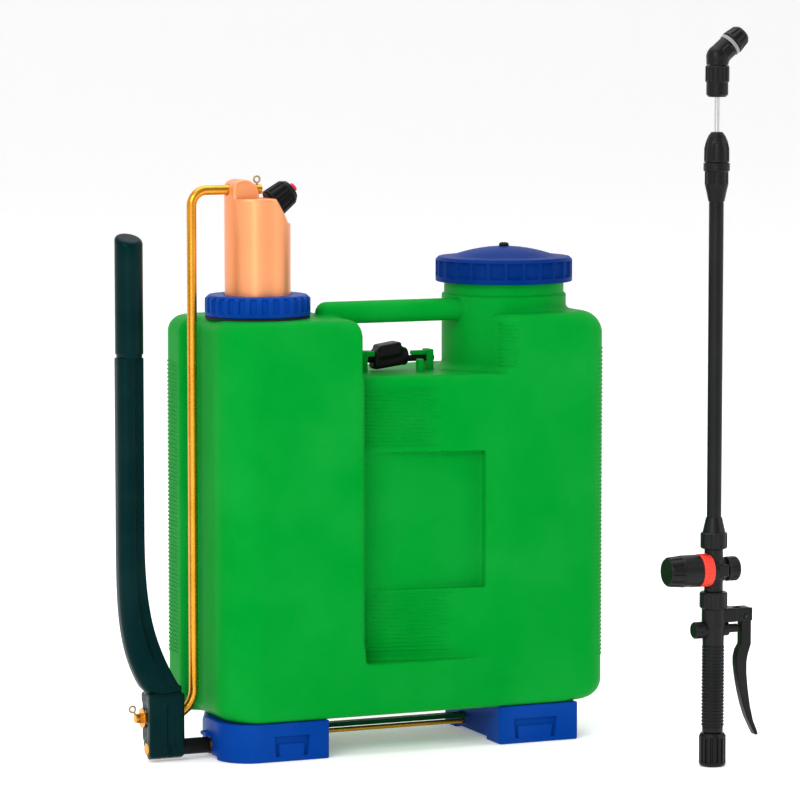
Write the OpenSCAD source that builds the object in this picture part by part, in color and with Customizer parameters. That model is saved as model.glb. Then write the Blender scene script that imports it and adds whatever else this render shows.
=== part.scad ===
// Knapsack sprayer: blow-moulded tank with a lever-worked pump, standing beside its lance.
// Millimetres, +Z up, front of the tank faces -Y, tank pump lever on the -X side.

/* [Tank] */
// right side face of the tank
tank_xr = 279; // [240:320]
// left side face of the rear half of the tank
tank_xl = -54; // [-70:-40]
// left wall of the pump column
column_xl = -44; // [-60:-36]
// right wall of the pump column
column_xr = 71; // [55:90]
// front face of the tank
tank_yf = -52; // [-70:-40]
// back face of the tank
tank_yb = 72; // [50:100]
// front of the rear half beside the link rod
recess_y = 22; // [14:30]
// underside of the tank
tank_z0 = 30; // [20:50]
// top of the tank
tank_z1 = 339; // [300:380]
// height of the saddle under the carry handle
saddle_z = 293; // [270:310]
// wall thickness of the tank
wall = 3; // [2:0.5:5]
// depth of the hollow beside the column
valley_depth = 22; // [0:30]

/* [Filler] */
// filler neck axis, across
neck_x = 214; // [200:230]
// filler neck axis, front to back
neck_y = 10; // [0:20]
// radius of the filler neck
neck_r = 49.2; // [40:0.1:56]
// bore radius of the filler neck
neck_bore = 44.4; // [38:0.1:50]
// radius of the filler cap
cap_r = 54.2; // [50:0.1:64]
// grip pockets round the filler cap
cap_pockets = 24; // [12:36]

/* [Pump] */
// pump axis, across
pump_x = 1; // [-5:5]
// radius of the collar nut
collar_r = 40.8; // [38:0.1:46]
// grip notches round the collar nut
collar_notches = 28; // [12:40]
// radius of the moving air chamber
chamber_r = 25.5; // [20:0.5:30]
// top of the chamber lug
chamber_z1 = 446; // [420:460]
// height of the link rod pivot
rod_z = 438; // [420:445]
// link rod radius
rod_r = 3.75; // [2.5:0.05:5]
// link rod plane, across
rod_x = -53; // [-58:-48]

/* [Lever] */
// lever shaft, front to back
shaft_y = -8; // [-14:0]
// lever shaft height
shaft_z = 9.5; // [8:0.5:14]
// crank pin height above the floor
pin_z = 32.5; // [28:0.5:38]
// outer face of the lever
lever_xl = -116.5; // [-125:0.5:-105]
// width of the lever
lever_w = 21; // [16:26]
// top of the lever grip
lever_z1 = 407; // [360:440]

/* [Lance] */
// lance axis, across
lance_x = 298.5; // [280:0.5:320]
// lance axis, front to back
lance_y = -192; // [-220:-120]
// radius of the black lance tube
tube_r = 5.6; // [4:0.1:8]
// radius of the steel extension
steel_r = 1.9; // [1.5:0.1:3]
// ribs along the grip
grip_ribs = 24; // [10:30]
// height of the pressure regulator
reg_z = 151.2; // [140:160]

/* [View] */
// which piece to draw

/* [Hidden] */
$fn = 72;
e = 0.01;
handle_z = 341;
handle_y = -5;
handle_r = 8.8;
home_x = (lever_xl - 0.3 + lance_x + 37.6) / 2;
home_y = (lance_y - 12.7 + tank_yb) / 2;

// puts the origin under the middle of the whole set, at floor level
module home() {
  translate([-home_x, -home_y, 0]) children();
}
module box(x0, x1, y0, y1, z0, z1) {
  translate([x0, y0, z0]) cube([x1 - x0, y1 - y0, z1 - z0]);
}
module zc(x, y, z0, z1, r) {
  translate([x, y, z0]) cylinder(r = r, h = z1 - z0);
}
module xc(x0, x1, y, z, r) {
  translate([x0, y, z]) rotate([0, 90, 0]) cylinder(r = r, h = x1 - x0);
}
module yc(x, y0, y1, z, r) {
  translate([x, y0, z]) rotate([-90, 0, 0]) cylinder(r = r, h = y1 - y0);
}
// waste outside a rounded vertical edge; sx, sy say which way the corner points
module corner_v(x, y, sx, sy, r, z0, z1) {
  difference() {
    box(min(x, x - sx * r) - (sx < 0 ? 1 : 0), max(x, x - sx * r) + (sx > 0 ? 1 : 0),
        min(y, y - sy * r) - (sy < 0 ? 1 : 0), max(y, y - sy * r) + (sy > 0 ? 1 : 0), z0, z1);
    zc(x - sx * r, y - sy * r, z0 - 1, z1 + 1, r);
  }
}
// waste outside a rounded edge that runs front to back
module corner_y(x, z, sx, sz, r, y0, y1) {
  difference() {
    box(min(x, x - sx * r) - (sx < 0 ? 1 : 0), max(x, x - sx * r) + (sx > 0 ? 1 : 0), y0, y1,
        min(z, z - sz * r) - (sz < 0 ? 1 : 0), max(z, z - sz * r) + (sz > 0 ? 1 : 0));
    yc(x - sx * r, y0 - 1, y1 + 1, z - sz * r, r);
  }
}

// the whole moulded body, drawn o millimetres inside its outer face
module tank_form(o) {
  zb = tank_z0 + o;
  zt = tank_z1 - o;
  difference() {
    union() {
      difference() {
        box(tank_xl + o, tank_xr - o, recess_y + o, tank_yb - o, zb, zt);
        corner_v(tank_xl + o, recess_y + o, -1, -1, 8 - o, zb - 1, zt + 1);
        corner_y(tank_xl + o, zt, -1, 1, 18 - o, recess_y, tank_yb + 1);
        corner_y(tank_xl + o, zb, -1, -1, 14 - o, recess_y, tank_yb + 1);
      }
      difference() {
        box(column_xl + o, tank_xr - o, tank_yf + o, recess_y + o + 12, zb, zt);
        corner_v(column_xl + o, tank_yf + o, -1, -1, 30 - o, zb - 1, zt + 1);
        corner_y(column_xl + o, zt, -1, 1, 11 - o, tank_yf - 1, recess_y);
      }
    }
    corner_v(tank_xl + o, tank_yb - o, -1, 1, 24 - o, zb - 1, zt + 1);
    corner_v(tank_xr - o, tank_yb - o, 1, 1, 24 - o, zb - 1, zt + 1);
    corner_v(tank_xr - o, tank_yf + o, 1, -1, 22 - o, zb - 1, zt + 1);
    corner_y(tank_xr - o, zt, 1, 1, 18 - o, tank_yf - 1, tank_yb + 1);
    corner_y(tank_xr - o, zb, 1, -1, 16 - o, tank_yf - 1, tank_yb + 1);
    // hollow between column and right block
    translate([0, 0, 71 - o]) linear_extrude(400)
      polygon([[column_xr - o, tank_yf - 9], [column_xr - o, tank_yf + valley_depth + o],
        [190 + 4 * o, tank_yf + o - e], [190 + 4 * o, tank_yf - 9]]);
    // saddle under the carry handle
    difference() {
      box(column_xr - o, 214, tank_yf - 9, tank_yb + 9, saddle_z - o, tank_z1 + 30);
      difference() {
        box(186 + o, 230, tank_yf + o, tank_yb - o, saddle_z - 9, tank_z1 + 40);
        corner_v(186 + o, tank_yf + o, -1, -1, 20 - o, saddle_z - 9, tank_z1 + 40);
        corner_v(186 + o, tank_yb - o, -1, 1, 20 - o, saddle_z - 9, tank_z1 + 40);
      }
      zc(neck_x, neck_y, saddle_z - 9, tank_z1 + 40, 50 - o);
    }
    corner_y(column_xr - o, zt, 1, 1, 15 - o, tank_yf - 9, tank_yb + 9);
  }
}

module tank_body() {
  color([0.0, 0.62, 0.22]) home()
  difference() {
    union() {
      difference() {
        tank_form(0);
        tank_form(wall);
      }
      // pump neck
      zc(pump_x, 0, tank_z1 - wall, 352, 37);
      // carry handle
      difference() {
        union() {
          xc(56, 178, handle_y, handle_z, handle_r);
          zc(56, handle_y, tank_z1 - wall, handle_z, handle_r);
          translate([56, handle_y, handle_z]) sphere(r = handle_r);
        }
        zc(neck_x, neck_y, 300, tank_z1 + e, neck_r - 3);
        zc(neck_x, neck_y, tank_z1, 400, neck_r);
      }
      // strap lugs on the saddle
      box(90, 95, 4, 16, saddle_z - e, 309);
      box(90, 99, 4, 16, 306, 309);
      box(131, 136, -12, -6, saddle_z - e, 303);
      box(146, 151, 4, 16, saddle_z - e, 309);
    }
    zc(neck_x, neck_y, 300, 400, neck_bore);
    zc(pump_x, 0, 300, 400, 31);
    // plain name panel
    translate([0, 0, 126]) linear_extrude(107)
      polygon([[77, tank_yf - 9], [77, tank_yf + valley_depth - 1], [172, tank_yf + 6], [172, tank_yf - 9]]);
    // bore for the strap bar
    xc(72, 153.5, 10, 302, 2.55);
  }
}
module filler_neck() {
  color([0.0, 0.62, 0.22]) home()
  difference() {
    union() {
      zc(neck_x, neck_y, tank_z1, 351, neck_r);
      zc(neck_x, neck_y, 351 - e, 373, neck_r - 1.7);
    }
    zc(neck_x, neck_y, 300, 400, neck_bore);
  }
}
module strap_bar() {
  color([0.03, 0.03, 0.03]) home()
  union() {
    xc(72.5, 86, 10, 302, 5);
    xc(85, 153, 10, 302, 2.5);
  }
}
module strap_buckle() {
  color([0.03, 0.03, 0.03]) home()
  difference() {
    union() {
      box(100, 126, 3, 17, 296.5, 313);
      box(104, 122, 1, 19, 300, 317);
      xc(126 - e, 130, 10, 303, 6);
    }
    xc(99, 132, 10, 302, 2.56);
    box(107, 119, 0, 20, 308, 311);
  }
}

module pump_cylinder() {
  color([0.9, 0.9, 0.86]) home()
  difference() {
    union() {
      zc(pump_x, 0, 62, 352.5, 30);
      zc(pump_x, 0, 352, 353.7, 36);
    }
    zc(pump_x, 0, 70, 360, 27);
    zc(pump_x, 0, 50, 80, 9);
    xc(pump_x - 40, pump_x + 40, 0, 330, 3);
  }
}
module foot_valve() {
  color([0.1, 0.1, 0.1]) home()
  difference() {
    union() {
      zc(pump_x, 0, 40, 62, 13);
      zc(pump_x, 0, 62 - e, 70, 8.9);
      zc(pump_x, 0, 36, 40, 16);
    }
    zc(pump_x, 0, 30, 80, 4);
    for (a = [0:60:300]) rotate_about(pump_x, 0, a) box(pump_x + 2, pump_x + 20, -1.5, 1.5, 35, 39);
  }
}
module rotate_about(x, y, a) {
  translate([x, y, 0]) rotate([0, 0, a]) translate([-x, -y, 0]) children();
}
module pump_collar() {
  color([0.0, 0.27, 0.65]) home()
  difference() {
    union() {
      zc(pump_x, 0, 341, 354.5, collar_r);
      translate([pump_x, 0, 354.5 - e]) cylinder(r1 = collar_r, r2 = collar_r - 3, h = 2.5);
    }
    zc(pump_x, 0, 340, 354.1, 37.3);
    zc(pump_x, 0, 350, 360, chamber_r + 0.6);
    for (i = [0:collar_notches - 1]) rotate_about(pump_x, 0, i * 360 / collar_notches)
      box(pump_x + collar_r - 1.3, pump_x + collar_r + 2, -2.8, 2.8, 344.5, 355);
  }
}
module collar_gasket() {
  color([0.08, 0.08, 0.08]) home()
  difference() {
    zc(pump_x, 0, 339, 341 - 0.4, 40.5);
    zc(pump_x, 0, 338, 342, 37.05);
  }
}
module pump_chamber() {
  color([0.88, 0.55, 0.35]) home()
  difference() {
    union() {
      zc(pump_x, 0, 96, 412, chamber_r);
      // lug cut from the tube, rounded over the link rod
      intersection() {
        zc(pump_x, 0, 411, chamber_z1, chamber_r);
        union() {
          box(-26, 7.5, -16, 16, 411, 431.5);
          translate([0, 16, 0]) rotate([90, 0, 0]) linear_extrude(32)
            polygon([[7, 411], [21.5, 411], [7.5, 431.5]]);
          yc(-13.5, -11, 11, 434, 12);
          box(-25.5, -1.5, -11, 11, 425, 434);
        }
      }
    }
    zc(pump_x, 0, 90, 404, chamber_r - 3);
    xc(-30, 0, 0, rod_z, rod_r + 0.05);
    translate([10.5, 0, 424.4]) rotate([0, 54, 0]) translate([0, 0, -12]) cylinder(r = 4.5, h = 40);
    zc(pump_x, 0, 400, 418, 6);
  }
}
module piston_cup() {
  color([0.07, 0.07, 0.07]) home()
  difference() {
    union() {
      zc(pump_x, 0, 92, 96, 26.95);
      zc(pump_x, 0, 96 - e, 104, chamber_r - 3.02);
    }
    zc(pump_x, 0, 90, 110, 8);
  }
}
module outlet_frame() {
  translate([10.5, 0, 424.4]) rotate([0, 54, 0]) children();
}
module outlet_spigot() {
  color([0.75, 0.58, 0.2]) home()
  outlet_frame() difference() {
    union() {
      translate([0, 0, -6]) cylinder(r = 4.49, h = 9);
      translate([0, 0, 2.6]) cylinder(r = 7, h = 13);
    }
    translate([0, 0, -12]) cylinder(r = 2.5, h = 40);
  }
}
module outlet_nut() {
  color([0.04, 0.04, 0.04]) home()
  outlet_frame() difference() {
    translate([0, 0, 3.2]) cylinder(r1 = 12, r2 = 9.8, h = 19.5);
    translate([0, 0, 1]) cylinder(r = 7.05, h = 15);
    translate([0, 0, 10]) cylinder(r = 4.3, h = 20);
    for (a = [0:30:330]) rotate([0, 0, a]) translate([12.8, 0, 4.5]) rotate([0, -6, 0]) cylinder(r = 1.6, h = 17);
  }
}
module outlet_plug() {
  color([0.85, 0.2, 0.2]) home()
  outlet_frame() difference() {
    translate([0, 0, 15.7]) cylinder(r = 4.24, h = 9);
    translate([0, 0, 14]) cylinder(r = 2.5, h = 8);
  }
}

// quarter bend of round rod in the X-Z plane about (x, z)
module rod_bend(x, z, r, a) {
  translate([x, 0, z]) rotate([90, 0, 0]) rotate([0, 0, a]) rotate_extrude(angle = 90)
    translate([r, 0]) circle(r = rod_r);
}
module link_rod() {
  color([0.8, 0.55, 0.15]) home()
  difference() {
    union() {
      xc(rod_x + 12, 4, 0, rod_z, rod_r);
      rod_bend(rod_x + 12, rod_z - 12, 12, 90);
      zc(rod_x, 0, pin_z + 20, rod_z - 12, rod_r);
      rod_bend(rod_x - 20, pin_z + 20, 20, 270);
      xc(-101.5, rod_x - 20, 0, pin_z, rod_r);
    }
    zc(0.6, 0, rod_z - 6, rod_z + 6, 0.95);
    translate([-99.2, 0, pin_z]) rotate([0, -30, 0]) translate([0, 0, -8]) cylinder(r = 0.95, h = 16);
  }
}
module split_pin() {
  cylinder(r = 0.9, h = 11);
  translate([0, 0, 13.2]) rotate([90, 0, 0]) rotate_extrude() translate([2.4, 0]) circle(r = 0.8, $fn = 24);
}
module top_split_pin() {
  color([0.55, 0.52, 0.45]) home()
  translate([0.6, 0, rod_z - 5.5]) split_pin();
}
module bottom_split_pin() {
  color([0.55, 0.52, 0.45]) home()
  translate([-99.2, 0, pin_z]) rotate([0, -30, 0]) translate([0, 0, -4.8]) split_pin();
}
module bottom_washer() {
  color([0.75, 0.6, 0.3]) home()
  difference() {
    xc(-95.9, -94.4, 0, pin_z, 7.8);
    xc(-97, -93, 0, pin_z, rod_r + 0.02);
  }
}

// profile of the lever arm, u runs from 0 at the straight to 1 at the hub
function arm_l(u) = lever_xl + 22.6 * pow(u, 4.3);
function arm_r(u) = lever_xl + lever_w + 41 * pow(u, 3.1);
module lever_arm() {
  color([0.0, 0.12, 0.12]) home()
  union() {
    translate([0, 3, 0]) rotate([90, 0, 0]) linear_extrude(17)
      polygon(concat(
        [[lever_xl, 312], [lever_xl, 190]],
        [for (i = [1:14]) [arm_l(i / 14), 190 - 140 * i / 14]],
        [[-61, 50], [-61, 57]],
        [for (i = [12:-1:1]) [arm_r(i / 14), 190 - 140 * i / 14]],
        [[lever_xl + lever_w, 190], [lever_xl + lever_w, 312]]));
    zc(lever_xl + lever_w / 2, -5.5, 312 - e, 398, 7);
  }
}
module lever_grip() {
  color([0.0, 0.12, 0.12]) home()
  difference() {
    union() {
      zc(lever_xl + lever_w / 2, -5.5, 312.05, 314.5, 9.9);
      zc(lever_xl + lever_w / 2, -5.5, 314.5 - e, lever_z1, lever_w / 2 + 0.3);
    }
    zc(lever_xl + lever_w / 2, -5.5, 300, 398.4, 7.05);
    translate([lever_xl - 0.3, -30, lever_z1]) rotate([0, 14.6, 0]) cube([40, 50, 20]);
  }
}
module lever_hub() {
  color([0.0, 0.12, 0.12]) home()
  difference() {
    union() {
      box(-94, -61, -16, -10.5, shaft_z, 49.95);
      box(-94, -87, -16, 4.5, shaft_z, 49.95);
      box(-94, -61, -16, 4.5, 46, 49.95);
      xc(-94, -61, shaft_y, shaft_z, 8.2);
    }
    xc(-100, -80, 0, pin_z, 6.6);
    xc(-95, -60, shaft_y, shaft_z, 4.85);
    corner_x(4.5, shaft_z - 0.1, 6);
  }
}
// rounds the lower back edge of the hub cheek
module corner_x(y, z, r) {
  translate([-99, 0, 0]) rotate([90, 0, 90]) linear_extrude(40)
    polygon([[y + 1, z - 1], [y - 7, z - 1], [y + 1, z + 9]]);
}
module lever_shaft() {
  color([0.78, 0.6, 0.3]) home()
  xc(-95.2, 24, shaft_y, shaft_z, 4.8);
}
module shaft_sleeve() {
  color([0.02, 0.02, 0.02]) home()
  difference() {
    xc(-60.9, -44.5, shaft_y, shaft_z, 6.25);
    xc(-62, -44, shaft_y, shaft_z, 4.82);
  }
}
module foot_bush() {
  color([0.7, 0.7, 0.66]) home()
  difference() {
    xc(-43.5, 20, shaft_y, shaft_z, 7);
    xc(-50, 30, shaft_y, shaft_z, 4.85);
  }
}

module foot_pad(x0, x1) {
  // shallow moulded pocket on the front face
  translate([0, tank_yf + 4.2, 0]) rotate([90, 0, 0]) linear_extrude(9)
    polygon([[x0 + 3, 4], [x1 - 3, 4], [x1, 19.5], [x0, 19.5]]);
}
module foot_block(x0, x1, rl) {
  difference() {
    box(x0, x1, tank_yf + 1.5, 58, 0, tank_z0 - 0.02);
    corner_v(x0, tank_yf + 1.5, -1, -1, rl, -1, tank_z0 + 1);
    corner_v(x1, tank_yf + 1.5, 1, -1, 3, -1, tank_z0 + 1);
    // arch between the front and back pads
    translate([x0 - 9, 0, 0]) rotate([90, 0, 90]) linear_extrude(x1 - x0 + 18)
      polygon([[-38, -1], [-38, 1.5], [-22, 2.4], [34, 2.4], [42, 1.5], [42, -1]]);
  }
}
module left_foot() {
  color([0.0, 0.27, 0.68]) home()
  difference() {
    union() {
      foot_block(-43.6, 40, 27);
      box(-48.5, -43.5, -15, -1, 17, 20);
    }
    xc(-44, 20.1, shaft_y, shaft_z, 7.02);
    xc(20, 26, shaft_y, shaft_z, 5.2);
    difference() {
      foot_pad(-7, 25);
      translate([0, 0.9, 0]) foot_ledge(-4, 22);
    }
    xc(20, 60, 20, 8, 1.92);
    box(37, 60, 15.9, 26.1, 10.95, 14.6);
  }
}
// raised panel left standing in the pocket
module foot_ledge(x0, x1) {
  translate([0, tank_yf + 4.2, 0]) rotate([90, 0, 0]) linear_extrude(1.5)
    polygon([[x0 + 3, 2], [x1 - 3, 2], [x1, 13], [x0, 13]]);
}
module right_foot() {
  color([0.0, 0.27, 0.68]) home()
  difference() {
    foot_block(184, 252, 3);
    difference() {
      foot_pad(195, 235);
      translate([0, 0.9, 0]) foot_ledge(198, 232);
    }
    xc(160, 204, 20, 8, 1.92);
    box(160, 187, 15.9, 26.1, 10.95, 14.6);
  }
}
module base_rail() {
  color([0.0, 0.28, 0.1]) home()
  box(37.1, 186.9, 16, 26, 11, 14.5);
}
module tie_rod() {
  color([0.78, 0.52, 0.28]) home()
  xc(24, 200, 20, 8, 1.9);
}

module filler_cap() {
  color([0.0, 0.27, 0.65]) home()
  difference() {
    union() {
      zc(neck_x, neck_y, 361, 378, cap_r);
      translate([neck_x, neck_y, 378 - e]) cylinder(r1 = cap_r, r2 = cap_r - 3, h = 2.5);
      // low dome
      intersection() {
        translate([neck_x, neck_y, 387.6 - 170]) sphere(r = 170, $fn = 96);
        zc(neck_x, neck_y, 378, 390, 48);
      }
    }
    zc(neck_x, neck_y, 350, 366, 50.6);
    zc(neck_x, neck_y, 360, 376.6, 48);
    zc(neck_x, neck_y, 370, 400, 2.4);
    for (i = [0:cap_pockets - 1]) rotate_about(neck_x, neck_y, (i + 0.5) * 360 / cap_pockets)
      box(neck_x + cap_r - 1.8, neck_x + cap_r + 2, neck_y - 5.3, neck_y + 5.3, 365, 377.5);
  }
}
module cap_gasket() {
  color([0.08, 0.08, 0.08]) home()
  difference() {
    zc(neck_x, neck_y, 374.8, 376.6, 47.9);
    zc(neck_x, neck_y, 370, 380, 43);
  }
}
module vent_valve() {
  color([0.03, 0.03, 0.03]) home()
  union() {
    zc(neck_x, neck_y, 371, 388, 2.35);
    zc(neck_x, neck_y, 388 - e, 390, 4);
    translate([neck_x, neck_y, 390 - e]) cylinder(r1 = 4, r2 = 2.4, h = 1);
    zc(neck_x, neck_y, 373, 376.55, 4.6);
  }
}
module strainer() {
  color([0.85, 0.85, 0.8]) home()
  difference() {
    union() {
      zc(neck_x, neck_y, 373.02, 374.4, 47.2);
      zc(neck_x, neck_y, 301, 373.1, 44);
    }
    zc(neck_x, neck_y, 303, 380, 42);
    for (a = [0:30:330], z = [311:14:353]) rotate_about(neck_x, neck_y, a)
      xc(neck_x + 38, neck_x + 48, neck_y, z, 4);
    for (a = [0:60:300]) rotate_about(neck_x, neck_y, a) zc(neck_x + 22, neck_y, 296, 306, 7);
  }
}

module at_lance() {
  translate([lance_x, lance_y, 0]) children();
}
module handle_body() {
  color([0.05, 0.05, 0.05]) home()
  at_lance() difference() {
    union() {
      zc(0, 0, 12, 26, 6.4);
      zc(0, 0, 26, 30.4, 8);
      zc(0, 0, 30.4 - e, 93, 6.9);
      zc(0, 0, 93 - e, 107, 8.2);
      zc(0, 0, 107 - e, 121.4, 9);
      zc(0, 0, 121.4 - e, 131, 7);
      // trigger bracket: two cheeks and a root
      box(5, 30.5, -6.5, -4.3, 111, 121);
      box(5, 30.5, 4.3, 6.5, 111, 121);
      box(5, 17, -6.5, 6.5, 111, 121.2);
      xc(-9, 12, 0, 105.2, 5.5);
    }
    zc(0, 0, 0, 140, 3);
    xc(-9.5, 20, 0, 105.2, 3.4);
    yc(24.7, -10, 10, 114.7, 1.5);
  }
}
module grip_sleeve() {
  color([0.05, 0.05, 0.05]) home()
  at_lance() difference() {
    union() {
      zc(0, 0, 30.42, 92.98, 8.4);
      for (i = [0:grip_ribs - 1]) zc(0, 0, 31.2 + i * 2.6, 32.6 + i * 2.6, 9.2);
    }
    zc(0, 0, 20, 100, 6.92);
  }
}
module hose_nut() {
  color([0.05, 0.05, 0.05]) home()
  at_lance() difference() {
    union() {
      zc(0, 0, 0, 24, 10.3);
      translate([0, 0, 24 - e]) cylinder(r1 = 10.3, r2 = 9.2, h = 1.5);
    }
    zc(0, 0, 11, 30, 6.45);
    zc(0, 0, -1, 20, 4);
    for (a = [0:24:336]) rotate([0, 0, a]) zc(10.8, 0, 3, 22, 1.2);
  }
}
module valve_cap() {
  color([0.05, 0.05, 0.05]) home()
  at_lance() difference() {
    union() {
      xc(-17, -9.03, 0, 105.2, 6.5);
      xc(-9.1, -6, 0, 105.2, 3.35);
    }
    xc(-7.5, -5, 0, 105.2, 2.2);
  }
}
module plunger() {
  color([0.6, 0.6, 0.6]) home()
  at_lance() union() {
    xc(3.6, 20, 0, 105.2, 3.35);
    xc(20 - e, 21.95, 0, 105.2, 2.4);
  }
}
module plunger_spring() {
  color([0.7, 0.7, 0.7]) home()
  at_lance() difference() {
    xc(-5.9, 1.2, 0, 105.2, 3);
    xc(-7, 2, 0, 105.2, 2.2);
  }
}
module trigger() {
  color([0.04, 0.04, 0.04]) home()
  at_lance() difference() {
    translate([0, 4, 0]) rotate([90, 0, 0]) linear_extrude(8)
      polygon([[22.3, 93], [22.3, 119.5], [24, 121.2], [29, 121.2], [31, 118], [31, 92.5], [27.6, 80],
        [28.4, 64], [31.5, 40], [37.6, 22], [35, 21.5], [27.6, 36], [22.6, 52], [19.6, 66], [18.1, 80]]);
    yc(24.7, -10, 10, 114.7, 1.55);
  }
}
module trigger_pin() {
  color([0.7, 0.7, 0.7]) home()
  at_lance() yc(24.7, -7.2, 7.2, 114.7, 1.48);
}
module lower_nut() {
  color([0.05, 0.05, 0.05]) home()
  at_lance() difference() {
    zc(0, 0, 121.45, 134.4, 10.7);
    zc(0, 0, 120, 136, 7.03);
    for (a = [0:30:330]) rotate([0, 0, a]) zc(11.3, 0, 123, 133, 1.3);
  }
}
module regulator_body() {
  color([0.05, 0.05, 0.05]) home()
  at_lance() difference() {
    union() {
      zc(0, 0, 131.05, 134.5, 6.95);
      zc(0, 0, 134.45, 167.6, 7.2);
      zc(0, 0, 167.5, 178, 6.6);
      xc(-4, 7, 0, reg_z, 9.3);
      xc(7 - e, 14, 0, reg_z, 5.5);
      xc(-18, -4 + e, 0, reg_z, 7.5);
    }
    // seat of the red ring
    difference() {
      xc(-20, -4.2, 0, reg_z, 12.9);
      xc(-21, -3, 0, reg_z, 7.5);
    }
    zc(0, 0, 100, 139, 3);
    zc(0, 0, 163, 182, 3);
    xc(-20, 2, 0, reg_z, 5);
    zc(-2.5, 0, 138, 165, 1.8);
  }
}
module regulator_knob() {
  color([0.05, 0.05, 0.05]) home()
  at_lance() difference() {
    union() {
      translate([-40.4, 0, reg_z]) rotate([0, 90, 0]) cylinder(r1 = 11.2, r2 = 12.3, h = 13.4);
      xc(-27 - e, -13.6, 0, reg_z, 12.3);
    }
    xc(-18.4, -10, 0, reg_z, 7.56);
    xc(-37, -18, 0, reg_z, 5);
    for (a = [0:22.5:359]) translate([0, 0, reg_z]) rotate([a, 0, 0]) xc(-44, -28, 0, 12.7, 1.2);
  }
}
module regulator_ring() {
  color([0.9, 0.15, 0.15]) home()
  at_lance() difference() {
    xc(-13.3, -4.3, 0, reg_z, 12.7);
    xc(-14, -4, 0, reg_z, 7.53);
  }
}
module regulator_spring() {
  color([0.7, 0.7, 0.7]) home()
  at_lance() difference() {
    xc(-17.5, 1.5, 0, reg_z, 4.6);
    xc(-18, 2, 0, reg_z, 3.6);
  }
}
module regulator_cap() {
  color([0.05, 0.05, 0.05]) home()
  at_lance() difference() {
    xc(9.7, 19.6, 0, reg_z, 9.4);
    xc(9, 14.4, 0, reg_z, 5.56);
    for (a = [0:30:330]) translate([0, 0, reg_z]) rotate([a, 0, 0]) xc(12, 23, 0, 9.9, 1);
  }
}
module tube_nut() {
  color([0.05, 0.05, 0.05]) home()
  at_lance() difference() {
    union() {
      zc(0, 0, 167.65, 180, 10.3);
      translate([0, 0, 180 - e]) cylinder(r1 = 8.6, r2 = 6.2, h = 11.4);
    }
    zc(0, 0, 160, 178.4, 6.65);
    zc(0, 0, 170, 200, tube_r + 0.05);
    for (a = [0:30:330]) rotate([0, 0, a]) zc(10.9, 0, 169, 178.8, 1.3);
  }
}
module lance_tube() {
  color([0.04, 0.04, 0.04]) home()
  at_lance() difference() {
    union() {
      zc(0, 0, 178.5, 446, tube_r);
      zc(0, 0, 446 - e, 462, 5);
    }
    zc(0, 0, 170, 470, 4);
  }
}
module lock_collar() {
  color([0.05, 0.05, 0.05]) home()
  at_lance() difference() {
    union() {
      translate([0, 0, 432]) cylinder(r1 = 6.2, r2 = 9, h = 12.6);
      zc(0, 0, 444.6 - e, 455, 9);
      zc(0, 0, 455 - e, 461, 10);
    }
    zc(0, 0, 430, 446.01, tube_r + 0.02);
    zc(0, 0, 440, 470, 5.02);
  }
}
module lock_nut() {
  color([0.05, 0.05, 0.05]) home()
  at_lance() difference() {
    union() {
      zc(0, 0, 461.35, 472, 9.5);
      translate([0, 0, 472 - e]) cylinder(r1 = 9.5, r2 = 4.2, h = 12.3);
    }
    zc(0, 0, 460, 464, 5.4);
    zc(0, 0, 455, 490, steel_r + 0.05);
    for (a = [0:36:324]) rotate([0, 0, a]) zc(10.3, 0, 463, 471, 1.4);
  }
}
module steel_tube() {
  color([0.75, 0.77, 0.8]) home()
  at_lance() difference() {
    union() {
      zc(0, 0, 240, 518, steel_r);
      zc(0, 0, 240, 246, 3.9);
    }
    zc(0, 0, 230, 530, 1.2);
  }
}
module elbow_nut() {
  color([0.05, 0.05, 0.05]) home()
  at_lance() difference() {
    union() {
      zc(0, 0, 510.6, 521.8, 8.3);
      zc(0, 0, 521.8 - e, 534.4, 9.1);
    }
    zc(0, 0, 500, 522, steel_r + 0.02);
    zc(0, 0, 518.5, 540, 5.6);
    for (a = [0:36:324]) rotate([0, 0, a]) zc(9.7, 0, 523, 533.5, 1.1);
  }
}
module head_frame() {
  at_lance() translate([0, 0, 541]) rotate([0, 50, 0]) children();
}
module elbow() {
  color([0.05, 0.05, 0.05]) home()
  difference() {
    union() {
      at_lance() zc(0, 0, 519, 535, 5.55);
      at_lance() zc(0, 0, 534.7, 537, 8.5);
      at_lance() translate([9, 0, 536.8]) rotate([90, 0, 0]) rotate([0, 0, 130])
        rotate_extrude(angle = 50) translate([9, 0]) circle(r = 8.4);
      head_frame() translate([0, 0, 4]) cylinder(r = 8.5, h = 8.2);
      head_frame() translate([0, 0, 12]) cylinder(r = 5, h = 12);
    }
    at_lance() zc(0, 0, 510, 541, 2);
    head_frame() cylinder(r = 2, h = 40);
  }
}
module nozzle_ring() {
  color([0.6, 0.6, 0.6]) home()
  head_frame() difference() {
    translate([0, 0, 12.3]) cylinder(r = 9.1, h = 2.7);
    translate([0, 0, 10]) cylinder(r = 5.05, h = 8);
  }
}
module nozzle_cap() {
  color([0.05, 0.05, 0.05]) home()
  head_frame() difference() {
    translate([0, 0, 15.4]) cylinder(r1 = 9.5, r2 = 7.2, h = 12);
    translate([0, 0, 14]) cylinder(r = 5.06, h = 10.3);
    translate([0, 0, 20]) cylinder(r = 3.05, h = 10);
    for (a = [0:30:330]) rotate([0, 0, a]) translate([10.2, 0, 16]) rotate([0, -10, 0]) cylinder(r = 1.3, h = 9);
  }
}
module nozzle_core() {
  color([0.75, 0.6, 0.25]) home()
  head_frame() difference() {
    translate([0, 0, 24.3]) cylinder(r = 3, h = 3.6);
    translate([0, 0, 20]) cylinder(r = 0.8, h = 10);
  }
}

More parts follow.
